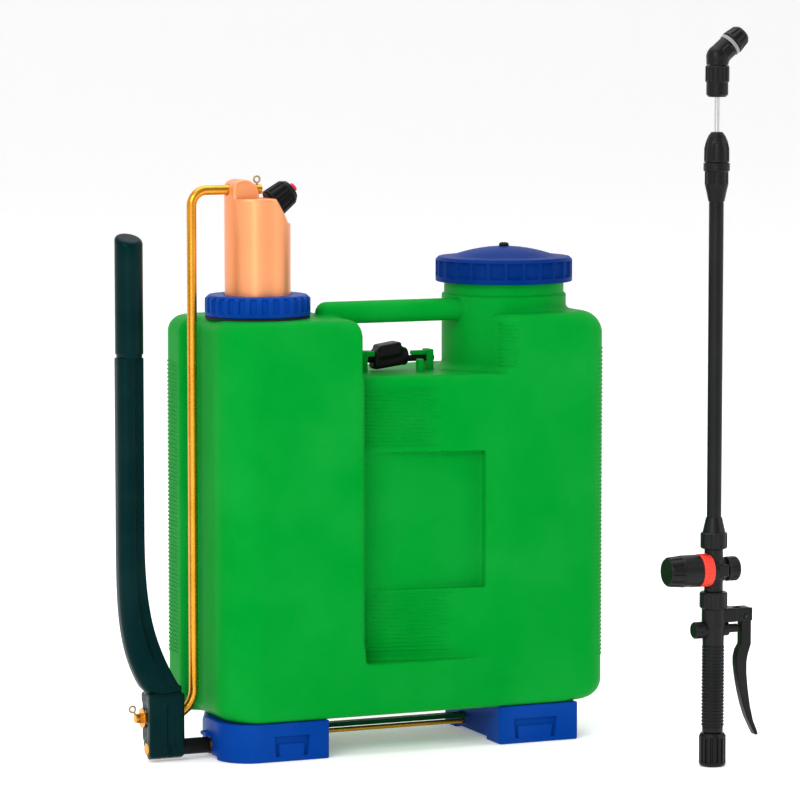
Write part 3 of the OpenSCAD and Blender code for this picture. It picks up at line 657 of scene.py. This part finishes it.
OUT_O, OUT_A = (10.5, 0, 424.4), (math.sin(math.radians(54)), 0, math.cos(math.radians(54)))
turned("outlet_cap", OUT_O, OUT_A,
       [(3.2, 7.1), (3.2, 11.4), (4.0, 12.0), (18.6, 10.6), (22.7, 7.6), (22.7, 4.4), (16, 4.4),
        (16, 7.1)], BLACK, "outlet", ("outlet_nut",), seg=96, r=1.1, closed=True,
       cuts=(12, 0.8, 5.5, 18.5, 0.45))
turned("outlet_tip", OUT_O, OUT_A, [(15.7, 0), (15.7, 4.2), (22.4, 4.2), (22.9, 3.5), (25.6, 3.5),
                                    (26.2, 2.6), (26.2, 0)], PINK, "chamber", ("outlet_plug",),
       seg=32, r=0.5)

rod = ([(4, 0, 438), (-10, 0, 438), (-41, 0, 438)] + arc(-41, 426, 12, 90, 180, 12)[1:]
       + [(-53, 0, 380), (-53, 0, 200), (-53, 0, 100)] + arc(-73, 52.5, 20, 0, -90, 14)
       + [(-90, 0, 32.5), (-100.8, 0, 32.5), (-101.5, 0, 32.5)])
radii = [3.75] * (len(rod) - 1) + [3.1]
rv, rf = sweep_mesh(rod, 3.75, 28, radii=radii)
make("link_bar", rv, rf, BRASS, "link", ("link_rod",))


def split_pin(name, base, tilt, node):
    """A bent wire pin: two legs through the rod and an eye above it."""
    legs = []
    for side in (-0.42, 0.42):
        legs.append(sweep_mesh([(side, 0, 0), (side, 0, 5), (side * 0.9, 0, 10.4),
                                (side * 2.0, 0, 11.4)], 0.42, 10))
    eye = sweep_mesh(arc(0, 13.2, 2.4, -80, 260, 22), 0.75, 10)
    v, f = join(*legs, eye)
    M = Matrix.Translation(Vector(base)) @ Matrix.Rotation(math.radians(tilt), 4, "Y")
    v = [tuple(M @ Vector(p)) for p in v]
    make(name, v, f, WIRE, "link", (node,))


split_pin("eye_pin_top", (0.6, 0, 432.5), 0, "top_split_pin")
LEAN = math.radians(-30)
split_pin("eye_pin_bottom", (-99.2 - 4.8 * math.sin(LEAN), 0, 32.5 - 4.8 * math.cos(LEAN)), -30,
          "bottom_split_pin")
turned("rod_washer", (0, 0, 32.5), (1, 0, 0),
       [(-95.9, 3.8), (-95.9, 7.8), (-94.4, 7.8), (-94.4, 3.8)], BRASS, "link",
       ("bottom_washer",), seg=40, r=0.3, closed=True)


# ---------------------------------------------------------------- lever
def hub_field(x, y, z):
    wall = brick(x, y, z, (-94, -67), (-16, -9.6), (3.5, 52), 1.6)
    cheek = brick(x, y, z, (-94, -86.4), (-16, 4.5), (9.5, 52), 1.6)
    head = brick(x, y, z, (-94, -67), (-16, 4.5), (45, 52), 1.6)
    web = brick(x, y, z, (-72, -67), (-16, -8.2), (9.5, 52), 1.4)
    boss = rod_x(x, y, z, -94, -67, -8, 9.5, 8.2, 1.2)
    body = rmin(rmin(wall, cheek, 2.5), rmin(head, web, 2.5), 2.5)
    body = rmin(body, boss, 2.0)
    groove = rmax(slab(x, -80.2, -77.2), rmax(y + 14.8, slab(z, -5, 44), 1), 0.9)
    body = rmax(body, -groove, 0.9)
    body = rmax(body, -(np.maximum(np.hypot(y, z - 32.5) - 6.6, x + 80)), 0.5)
    body = rmax(body, -(np.hypot(y + 8, z - 9.5) - 4.95), 0.4)
    chop = (y + 1.4) * 0.78 - (z - 9.5) * 0.62
    return rmax(body, chop, 1.2)


hv, hf = field_mesh(hub_field, (-96, -18, -1), (-59, 7, 54), 0.7)
make("lever_foot", hv, hf, TEAL, "lever", ("lever_hub",), 42)


def arm_edge(z):
    """Left and right edge of the lever arm at height z."""
    u = max(0.0, (190 - z) / 140)
    return -116.5 + 22.6 * u ** 4.3, -95.5 + 31.5 * u ** 3.1


def arm_section(x0, x1, t):
    """Outline of the arm: a round nose to the left and front, a thinner flange to the right."""
    w = x1 - x0
    yf, yb = -14.0, 3.0
    f = 1 - t
    pts = []
    r = min(8.0, 0.42 * w)
    for k in range(9):
        a = math.radians(180 + 90 * k / 8)
        pts.append((x0 + r + r * math.cos(a), yf + r + r * math.sin(a)))
    step = 3.6 * f + 0.6 * t
    pts += [(x0 + 0.54 * w, yf), (x0 + 0.62 * w, yf + 0.15 * step), (x0 + 0.67 * w, yf + step),
            (x0 + 0.73 * w, yf + step + 0.3), (x1 - 2.2, yf + step + 0.1)]
    for k in range(1, 5):
        a = math.radians(-90 + 90 * k / 4)
        pts.append((x1 - 2.2 + 2.2 * math.cos(a), yf + step + 2.3 + 2.2 * math.sin(a)))
    for k in range(5):
        a = math.radians(90 * k / 4)
        pts.append((x1 - 2.6 + 2.6 * math.cos(a), yb - 2.6 + 2.6 * math.sin(a)))
    for k in range(7):
        a = math.radians(90 + 90 * k / 6)
        pts.append((x0 + 5 + 5 * math.cos(a), yb - 5 + 5 * math.sin(a)))
    return pts


def arm_mesh():
    zs = [312.0, 311.5] + list(np.linspace(305, 195, 12)) + list(np.linspace(188, 58, 27))
    verts, faces, m = [], [], None
    for z in zs:
        x0, x1 = arm_edge(z)
        t = float(ease(110, 62, z))
        if z > 311.8:
            x0, x1 = x0 + 0.6, x1 - 0.6
        sec = arm_section(x0, x1, t)
        m = len(sec)
        verts += [(x, y, z) for x, y in sec]
    # lower end: a slanted foot that stands on the hub
    for z_l, z_r in ((53.5, 57.5), (50.2, 50.2)):
        x0, x1 = -94.6, -67.2
        sec = arm_section(x0, x1, 1.0)
        for x, y in sec:
            k = (x - x0) / (x1 - x0)
            verts.append((x, y, z_l + (z_r - z_l) * k))
    n = len(zs) + 2
    for i in range(n - 1):
        for j in range(m):
            k = (j + 1) % m
            faces.append((i * m + j, i * m + k, (i + 1) * m + k, (i + 1) * m + j))
    faces.append(tuple(range(m)))
    faces.append(tuple(range((n - 1) * m, n * m)))
    return verts, faces


av, af = arm_mesh()
make("lever_bar", av, af, TEAL, "lever", ("lever_arm",), 55)


def grip_field(x, y, z):
    tube = rmax(np.hypot(x + 106, y + 5.5) - 10.8, 314.6 - z, 0.9)
    cut = (z - 403.6 - (y + 5.5) * 0.34 + (x + 106) * 0.04) * 0.945
    tube = rmax(tube, cut, 3.4)
    low = rmax(np.hypot(x + 106, y + 5.5) - 9.9, slab(z, 312.1, 330), 0.4)
    return np.minimum(tube, low)


gv, gf = field_mesh(grip_field, (-119, -19, 310), (-93, 8, 411), 0.9)
make("hand_grip", gv, gf, TEAL, "lever", ("lever_grip",), 50)
turned("pivot_shaft", (0, -8, 9.5), (1, 0, 0), [(-95.2, 0), (-95.2, 4.8), (24, 4.8), (24, 0)],
       BRASS, "lever", ("lever_shaft",), seg=40, r=0.6)
turned("pivot_sleeve", (0, -8, 9.5), (1, 0, 0),
       [(-66.9, 4.85), (-66.9, 6.25), (-44.5, 6.25), (-44.5, 4.85)], BLACK, "lever",
       ("shaft_sleeve",), seg=40, r=0.4, closed=True)


# ---------------------------------------------------------------- feet
def foot_field(x, y, z, x0, x1, rl, p0, p1, left):
    body = np.maximum(rmax(rmax(x0 - x, -50.5 - y, rl), y - 58, 2),
                      rmax(rmax(x - x1, -50.5 - y, 2.0), y - 58, 2))
    body = rmax(body, slab(z, 0, 29.98), 1.1)
    # arch between the front and back pads
    arch = np.maximum(z - 2.4, slab(y, -24, 36))
    body = rmax(body, -arch, 1.2)
    # moulded pocket with a raised tongue
    w = (z - 4) * 0.09
    pocket = rmax(np.maximum(slab(z, 4, 19.5), y + 47.4),
                  np.maximum(p0 + 3 - w - x, x - (p1 - 3 + w)), 0.5)
    tongue = rmax(np.maximum(slab(z, 2, 13.5), slab(y, -49.9, -40)),
                  np.maximum(p0 + 6 - w - x, x - (p1 - 6 + w)), 0.6)
    body = rmax(body, -pocket, 0.9)
    body = np.minimum(body, tongue)
    if left:
        body = rmax(body, -(0.92 * x - 0.39 * y) - 43.7, 8)
        tab = brick(x, y, z, (-48.5, -40), (-15, -1), (16.8, 20), 0.9)
        body = rmin(body, tab, 0.8)
        body = rmax(body, -np.maximum(np.hypot(y + 8, z - 9.5) - 7.02, slab(x, -50, 26)), 0.5)
        ends = np.maximum(np.hypot(y - 20, z - 8) - 2.0, 20 - x)
        rail = np.maximum(np.maximum(37 - x, slab(y, 15.8, 26.2)), slab(z, 10.8, 14.7))
    else:
        ends = np.maximum(np.hypot(y - 20, z - 8) - 2.0, x - 204)
        rail = np.maximum(np.maximum(x - 187, slab(y, 15.8, 26.2)), slab(z, 10.8, 14.7))
    return np.maximum(body, -np.minimum(ends, rail))


for nm, x0, x1, rl, p0, p1, isl in (("foot_left", -43.6, 40, 27, -7, 25, True),
                                    ("foot_right", 184, 252, 2.5, 195, 235, False)):
    fv, ff = field_mesh(lambda x, y, z: foot_field(x, y, z, x0, x1, rl, p0, p1, isl),
                        (x0 - 7, -53, -2), (x1 + 2, 61, 32), 1.0)
    make(nm, fv, ff, FOOT_BLUE, "tank", ("left_foot" if isl else "right_foot",), 40)


def rail_field(x, y, z):
    bar = brick(x, y, z, (37.1, 186.9), (16, 26), (11, 14.5), 0.7)
    dip = brick(x, y, z, (42, 182), (13, 16.7), (12, 13.5), 0.3)
    return rmax(bar, -dip, 0.3)


bv, bf = field_mesh(rail_field, (35, 14, 9.5), (189, 28, 16), 0.7, 3)
make("under_rail", bv, bf, RAIL_GREEN_SHADED, "tank", ("base_rail",), 45)
turned("under_rod", (0, 20, 8), (1, 0, 0), [(24, 0), (24, 1.9), (200, 1.9), (200, 0)], BRASS,
       "tank", ("tie_rod",), seg=24, r=0.3)

# ---------------------------------------------------------------- strap fittings on the saddle
turned("strap_pin", (0, 10, 302), (1, 0, 0),
       [(72.5, 0), (72.5, 4.6), (73.3, 5.0), (82.5, 5.0), (86, 3.4), (89, 2.5), (153, 2.5),
        (153, 0)], BLACK, "tank", ("strap_bar",), seg=40, r=0.5)


def buckle_field(x, y, z):
    tip = (x - 100) / 26
    body = brick(x, y, z + 3.5 * (1 - tip), (100.2, 126), (3, 17), (297.5, 313), 3.2)
    top = brick(x, y, z - 4.0 * tip, (104, 123), (1.2, 18.8), (302, 312.6), 2.6)
    knob = rod_x(x, y, z, 124, 129.8, 10, 304, 7.2, 2.2)
    body = rmin(rmin(body, top, 2), knob, 1.5)
    return np.maximum(body, -(np.hypot(y - 10, z - 302) - 2.65))


kv, kf = field_mesh(buckle_field, (97, -1, 290), (133, 21, 320), 0.7)
make("strap_catch", kv, kf, BLACK, "buckle", ("strap_buckle",), 50)

# ---------------------------------------------------------------- lance
LX, LY = LANCE
LO = (LX, LY, 0)
UP, ACROSS = (0, 0, 1), (1, 0, 0)
REG = (LX, LY, 151.2)


def bracket_field(x, y, z):
    x, y = x - LX, y - LY
    cheeks = brick(x, np.abs(y), z, (3, 30.5), (4.3, 6.5), (111, 121.2), 0.8)
    root = brick(x, y, z, (3, 17), (-6.5, 6.5), (111, 121.2), 1.0)
    side = rmax(np.hypot(y, z - 105.2) - 5.5, slab(x, -9, 12), 0.6)
    out = rmin(rmin(cheeks, root, 1.0), side, 1.0)
    out = np.maximum(out, -(np.hypot(x - 24.7, z - 114.7) - 1.55))
    out = np.maximum(out, -np.maximum(np.hypot(y, z - 105.2) - 3.5, slab(x, -12, 14)))
    return np.maximum(out, 6.0 - np.hypot(x, y))


turned("lance_handle", LO, UP,
       [(12, 3), (12, 6.4), (26, 6.4), (26.2, 8.0), (30.4, 8.0), (30.4, 6.9), (93, 6.9),
        (93, 8.2), (106.6, 8.4), (107.2, 9.0), (121.4, 9.0), (121.4, 7.0), (131, 7.0), (131, 3)],
       LBLACK, "lance", ("handle_body",), seg=56, r=0.5, closed=True,
       extra=(field_mesh(bracket_field, (LX - 12, LY - 9, 97), (LX + 33, LY + 9, 124), 0.6, 3),))


def grip_outline():
    out = [(30.45, 6.95), (30.45, 8.3)]
    for i in range(24):
        z = 31.2 + i * 2.6
        out += [(z, 8.15), (z + 0.3, 8.7), (z + 1.2, 8.7), (z + 1.5, 8.15)]
    return out + [(92.95, 8.2), (92.95, 6.95)]


turned("ribbed_sleeve", LO, UP, grip_outline(), LBLACK, "lance", ("grip_sleeve",), seg=56,
       r=0.22, closed=True, steps=2)
turned("inlet_nut", LO, UP,
       [(0, 4), (0, 9.0), (1.6, 10.3), (23.2, 10.3), (25.5, 9.0), (25.5, 6.5), (11, 6.5), (11, 4)],
       LBLACK, "hose_union", ("hose_nut",), seg=120, r=0.7, closed=True,
       cuts=(15, 1.2, 3.0, 22.2, 0.4))
turned("side_cap", (LX, LY, 105.2), ACROSS,
       [(-17, 0), (-17, 5.6), (-16.1, 6.5), (-9.1, 6.5), (-9.1, 3.35), (-6, 3.35), (-6, 0)],
       LBLACK, "lance", ("valve_cap",), seg=64, r=0.5, cuts=(8, 0.5, -15.8, -10, 0.3))
turned("valve_pin", (LX, LY, 105.2), ACROSS,
       [(5.4, 0), (5.4, 3.35), (20, 3.35), (20.3, 2.4), (21.9, 2.4), (21.9, 0)], LBLACK,
       "plunger", ("plunger",), seg=32, r=0.4)


def trigger_mesh():
    """The hand lever: its side outline, drawn smooth, with rounded edges."""
    line = [(22.3, 93), (22.3, 119), (24.2, 121.2), (29.4, 121.2), (31, 119.6), (31, 92.6),
            (28.4, 84.6), (27.4, 79), (27.4, 70), (28.6, 58), (30.6, 45), (33.4, 33), (36.2, 26.5),
            (37.6, 22.6), (36.6, 21.3), (35, 21.8), (32.2, 27), (27.6, 36.4), (24.6, 45),
            (22.2, 54), (19.9, 65), (18.2, 77), (18.2, 83), (19.6, 88.5)]
    line = soften(line, 2.2, 4, True)
    n = len(line)
    P = np.array(line)
    nxt, prv = np.roll(P, -1, 0), np.roll(P, 1, 0)
    t = nxt - prv
    t /= np.linalg.norm(t, axis=1)[:, None]
    nrm = np.stack([t[:, 1], -t[:, 0]], 1)
    area = 0.5 * np.sum(P[:, 0] * nxt[:, 1] - nxt[:, 0] * P[:, 1])
    if area < 0:
        nrm = -nrm
    verts, faces = [], []
    rings = [(-4.0, 1.5), (-3.85, 0.75), (-3.4, 0.25), (-2.6, 0.0), (2.6, 0.0), (3.4, 0.25),
             (3.85, 0.75), (4.0, 1.5)]
    for y, inset in rings:
        for p, q in zip(P, nrm):
            verts.append((LX + p[0] - q[0] * inset * 0.8, LY + y, p[1] - q[1] * inset * 0.8))
    for i in range(len(rings) - 1):
        for j in range(n):
            k = (j + 1) % n
            faces.append((i * n + j, i * n + k, (i + 1) * n + k, (i + 1) * n + j))
    faces.append(tuple(range(n)))
    faces.append(tuple(range((len(rings) - 1) * n, len(rings) * n)))
    return verts, faces


gv, gf = trigger_mesh()
make("hand_trigger", gv, gf, LBLACK, "trigger", ("trigger",), 45)
turned("pivot_pin", (LX + 24.7, LY, 114.7), (0, 1, 0),
       [(-7.2, 0), (-7.2, 1.48), (7.2, 1.48), (7.2, 0)], DARK_PIN, "lance", ("trigger_pin",),
       seg=24, r=0.4)
turned("joint_nut", LO, UP,
       [(121.45, 7.1), (121.45, 9.6), (122.8, 10.7), (133.2, 10.7), (134.4, 9.7), (134.4, 7.1)],
       LBLACK, "lance", ("lower_nut",), seg=96, r=0.6, closed=True,
       cuts=(8, 0.9, 122.6, 133.4, 0.34))


def regulator_field(x, y, z):
    x, y = x - LX, y - LY
    R = np.hypot(x, y)
    up = rmax(R - 7.2, slab(z, 134.45, 167.6), 0.5)
    low = rmax(R - 6.95, slab(z, 131.05, 140), 0.3)
    tip = rmax(R - 6.6, slab(z, 160, 178), 0.4)
    A = np.hypot(y, z - 151.2)
    flange = rmax(A - 9.3, slab(x, -4, 7), 0.9)
    neck = rmax(A - 5.5, slab(x, 0, 14), 0.4)
    left = rmax(A - 7.45, slab(x, -18, 0), 0.4)
    lump = brick(x, y, z, (1.5, 8.5), (-10.1, 10.1), (146.6, 155.8), 1.2)
    body = rmin(rmin(np.minimum(up, np.minimum(low, tip)), flange, 1.2), neck, 0.6)
    body = rmin(rmin(body, left, 0.4), lump, 0.8)
    seat = np.maximum(np.maximum(7.5 - A, A - 12.9), slab(x, -20, -4.2))
    body = rmax(body, -seat, 0.3)
    body = np.maximum(body, -np.maximum(R - 3, slab(z, 120, 139)))
    body = np.maximum(body, -np.maximum(R - 3, slab(z, 163, 190)))
    return np.maximum(body, -np.maximum(A - 5, slab(x, -30, 2)))


rv, rf = field_mesh(regulator_field, (LX - 20, LY - 12, 129), (LX + 16, LY + 12, 180), 0.6)
make("regulator_core", rv, rf, LBLACK, "lance", ("regulator_body",), 42)
turned("pressure_dial", REG, ACROSS,
       [(-40.4, 0), (-40.4, 9.8), (-38.8, 11.3), (-28.5, 12.1), (-27.9, 12.3), (-13.6, 12.3),
        (-13.6, 7.6), (-18.4, 7.6), (-18.4, 5), (-37, 5), (-37, 0)],
       LBLACK, "pressure_knob", ("regulator_knob",), seg=144, r=0.7,
       cuts=(12, 1.0, -39.4, -29.2, 0.42),
       extra=(field_mesh(lambda x, y, z: rmax(rmax(
           np.hypot(y - LY, z - 151.2) - 12.62, -(np.hypot(y - LY, z - 151.2) - 11.8), 0.1),
           rmax(-(z - 151.2) - 13, np.maximum(slab(y - LY, -8.4, -2.6),
                                              slab(x - LX, -21.5, -14.2) + 0 * z)
                + 30 * (z > 151.2), 0.4), 0.2),
           (LX - 24, LY - 14, 136), (LX - 12, LY + 2, 152), 0.5, 2),))
turned("dial_ring", REG, ACROSS,
       [(-13.3, 7.6), (-13.3, 12.4), (-12.8, 12.7), (-10.2, 12.7), (-9.8, 12.2), (-9.4, 12.7),
        (-4.9, 12.7), (-4.3, 12.2), (-4.3, 7.6)], RED, "lance", ("regulator_ring",), seg=72,
       r=0.3, closed=True, cuts=(18, 0.45, -12.9, -4.6, 0.3))
turned("side_plug", REG, ACROSS,
       [(9.7, 5.7), (9.7, 8.9), (10.4, 9.4), (18.4, 9.4), (19.6, 8.2), (19.6, 0), (14.4, 0),
        (14.4, 5.7)], LBLACK, "lance", ("regulator_cap",), seg=96, r=0.6,
       cuts=(12, 0.7, 11.5, 19.0, 0.35))
turned("upper_nut", LO, UP,
       [(167.65, 6.7), (167.65, 9.6), (168.4, 10.3), (179.2, 10.3), (180, 9.4), (180, 8.8),
        (191.4, 6.2), (191.4, 5.7), (178.4, 5.7), (178.4, 6.7)], LBLACK, "lance", ("tube_nut",),
       seg=96, r=0.5, closed=True, cuts=(8, 0.9, 169.2, 178.6, 0.34))
turned("long_tube", LO, UP,
       [(178.5, 4), (178.5, 5.6), (446, 5.6), (446, 5.0), (462, 5.0), (462, 4)], LBLACK, "lance",
       ("lance_tube",), seg=40, r=0.3, closed=True)
turned("lock_seat", LO, UP,
       [(432, 5.65), (432, 6.2), (438, 7.4), (444, 8.8), (445, 9.0), (454.6, 9.0), (455, 10),
        (461, 10), (461, 5.05), (446.05, 5.05), (446.05, 5.65)], LBLACK, "lance",
       ("lock_collar",), seg=96, r=0.6, closed=True, cuts=(6, 0.7, 445.5, 454.2, 0.3))
turned("lock_sleeve", LO, UP,
       [(461.35, 5.4), (461.35, 9.2), (461.9, 9.6), (472, 9.5), (477.5, 8.2), (481.5, 6.4),
        (484.3, 4.2), (484.3, 1.98), (464, 1.98), (464, 5.4)], LBLACK, "lock", ("lock_nut",),
       seg=96, r=0.6, closed=True, cuts=(6, 0.95, 463, 476, 0.4))
turned("slim_tube", LO, UP,
       [(240, 1.2), (240, 3.9), (246, 3.9), (246, 1.9), (518, 1.9), (518, 1.2)], STEEL,
       "extension", ("steel_tube",), seg=32, r=0.25, closed=True)
turned("head_nut", LO, UP,
       [(510.6, 1.95), (510.6, 6.6), (512.4, 8.3), (521.4, 8.3), (522.2, 9.1), (533.4, 9.1),
        (534.4, 8.3), (534.4, 5.65), (518.5, 5.65), (518.5, 1.95)], LBLACK, "extension",
       ("elbow_nut",), seg=96, r=0.6, closed=True, cuts=(10, 0.8, 523, 533, 0.4))

HEAD_O = (LX, LY, 541)
HEAD_A = (math.sin(math.radians(50)), 0, math.cos(math.radians(50)))


def elbow_field(x, y, z):
    x, y = x - LX, y - LY
    base = rmax(np.hypot(x, y) - 8.4, slab(z, 534.7, 541.5), 0.5)
    stem = rmax(np.hypot(x, y) - 5.55, slab(z, 519, 536), 0.4)
    s = x * HEAD_A[0] + (z - 541) * HEAD_A[2]
    t = np.hypot(x * HEAD_A[2] - (z - 541) * HEAD_A[0], y)
    ball = np.sqrt(x * x + y * y + (z - 541) ** 2) - 8.5
    arm = rmax(t - 8.4, slab(s, 0, 12.2), 0.5)
    nose = rmax(t - 5.0, slab(s, 8, 24), 0.3)
    body = rmin(rmin(base, arm, 1.6), ball, 0.4)
    body = np.minimum(np.minimum(body, stem), nose)
    pad = rmax(np.maximum(np.abs(y) - 8.9, slab(s, 3.2, 10.4)),
               np.abs(x * HEAD_A[2] - (z - 541) * HEAD_A[0]) - 3.6, 0.8)
    body = rmin(body, pad, 0.5)
    return np.maximum(body, -np.minimum(t - 2 + 100 * (s < 0),
                                        np.hypot(x, y) - 2 + 100 * (z > 541)))


ev, ef = field_mesh(elbow_field, (LX - 11, LY - 11, 517), (LX + 27, LY + 11, 563), 0.6)
make("elbow_body", ev, ef, LBLACK, "head", ("elbow",), 45)
turned("head_ring", HEAD_O, HEAD_A, [(12.3, 5.1), (12.3, 9.1), (15, 9.1), (15, 5.1)], GREY,
       "head", ("nozzle_ring",), seg=64, r=0.4, closed=True)
turned("nozzle_tip", HEAD_O, HEAD_A,
       [(15.4, 5.1), (15.4, 9.1), (16.2, 9.5), (25.2, 8.0), (27.4, 6.2), (27.4, 3.1), (24.3, 3.1),
        (24.3, 5.1)], LBLACK, "nozzle", ("nozzle_cap",), seg=96, r=0.6, closed=True,
       cuts=(8, 0.75, 17.5, 26, 0.4))

# ---------------------------------------------------------------- inner parts kept from the CAD
KEPT = {"pump_cylinder": WHITE, "strainer": WHITE, "foot_valve": RUBBER, "collar_gasket": RUBBER,
        "piston_cup": RUBBER, "cap_gasket": RUBBER, "outlet_spigot": BRASS, "nozzle_core": BRASS,
        "plunger_spring": STEEL, "regulator_spring": STEEL, "foot_bush": BUSH}
for node, mat in KEPT.items():
    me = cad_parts[node].data
    me.materials.clear()
    me.materials.append(mat)


# ---------------------------------------------------------------- stage, light and camera
def stage_material():
    m = bpy.data.materials.new("stage_white")
    m.use_nodes = True
    n, link = m.node_tree.nodes, m.node_tree.links
    b = n["Principled BSDF"]
    b.inputs["Roughness"].default_value = 0.85
    b.inputs["Specular IOR Level"].default_value = 0.1
    b.inputs["Emission Color"].default_value = (1, 1, 1, 1)
    b.inputs["Emission Strength"].default_value = 0.22
    noise = n.new("ShaderNodeTexNoise")
    noise.inputs["Scale"].default_value = 3
    ramp = n.new("ShaderNodeValToRGB")
    ramp.color_ramp.elements[0].color = (0.93, 0.93, 0.93, 1)
    ramp.color_ramp.elements[1].color = (0.95, 0.95, 0.95, 1)
    link.new(noise.outputs["Fac"], ramp.inputs["Fac"])
    link.new(ramp.outputs["Color"], b.inputs["Base Color"])
    return m


def backdrop():
    """A floor that curves up into a wall behind."""
    size, back, r = 14.0, 10.0, 3.0
    rows = [(-12.0, 0.0), (back - r, 0.0)]
    rows += [(back - r + r * math.sin(math.radians(a)), r - r * math.cos(math.radians(a)))
             for a in range(6, 91, 6)]
    rows += [(back, 9.0)]
    verts = [(x, y, z - 0.0002) for y, z in rows for x in (-size, size)]
    faces = [(2 * i, 2 * i + 1, 2 * i + 3, 2 * i + 2) for i in range(len(rows) - 1)]
    me = bpy.data.meshes.new("studio_floor")
    me.from_pydata(verts, [], faces)
    me.shade_smooth()
    me.materials.append(stage_material())
    ob = bpy.data.objects.new("studio_floor", me)
    bpy.context.scene.collection.objects.link(ob)


backdrop()


def area(name, where, target, size, power, colour=(1, 1, 1)):
    light = bpy.data.lights.new(name, "AREA")
    light.shape = "RECTANGLE"
    light.size, light.size_y = size
    light.energy = power
    light.color = colour
    ob = bpy.data.objects.new(name, light)
    ob.location = where
    ob.rotation_euler = (Vector(target) - Vector(where)).to_track_quat("-Z", "Y").to_euler()
    bpy.context.scene.collection.objects.link(ob)


area("key", (-2.6, -2.2, 2.2), (0, 0, 0.2), (1.6, 1.6), 50)
area("fill", (2.4, -1.8, 1.5), (0, 0, 0.2), (1.2, 2.0), 20)
area("top", (0.0, 0.4, 3.2), (0, 0.3, 0), (3.0, 3.0), 62)
area("strip", (-1.5, -2.4, 0.9), (-0.1, 0, 0.25), (0.25, 1.8), 9)

world = bpy.data.worlds.new("studio")
bpy.context.scene.world = world
world.use_nodes = True
wn, wl = world.node_tree.nodes, world.node_tree.links
ground = wn["Background"]
ground.inputs["Strength"].default_value = 0.86
aim = wn.new("ShaderNodeTexCoord")
axes = wn.new("ShaderNodeSeparateXYZ")
band = wn.new("ShaderNodeValToRGB")
sides = wn.new("ShaderNodeMapRange")
sides.inputs["From Min"].default_value = -1
front = wn.new("ShaderNodeMapRange")
front.inputs["From Min"].default_value = -0.25
front.inputs["From Max"].default_value = 0.15
soft = wn.new("ShaderNodeMix")
soft.data_type = "RGBA"
wl.new(aim.outputs["Generated"], axes.inputs["Vector"])
wl.new(axes.outputs["X"], sides.inputs["Value"])
wl.new(sides.outputs["Result"], band.inputs["Fac"])
wl.new(axes.outputs["Y"], front.inputs["Value"])
wl.new(front.outputs["Result"], soft.inputs["Factor"])
wl.new(band.outputs["Color"], soft.inputs["A"])
soft.inputs["B"].default_value = (1, 1, 1, 1)
wl.new(soft.outputs["Result"], ground.inputs["Color"])
marks = band.color_ramp.elements
marks[0].position, marks[0].color = 0.0, (1, 1, 1, 1)
marks[1].position, marks[1].color = 1.0, (1, 1, 1, 1)
for place, level in ((0.40, 1.0), (0.52, 0.42), (0.72, 0.36), (0.86, 0.95)):
    mark = marks.new(place)
    mark.color = (level, level, level, 1)
bpy.context.scene.view_settings.view_transform = "Standard"

cam = bpy.data.cameras.new("camera")
cam.lens = 189
cam.sensor_width = 36
cam.clip_end = 60
shot = bpy.data.objects.new("camera", cam)
shot.location = (-1.27058, -2.95210, 0.60046)
shot.rotation_euler = (math.radians(84.25), 0, math.radians(-23))
bpy.context.scene.collection.objects.link(shot)
bpy.context.scene.camera = shot
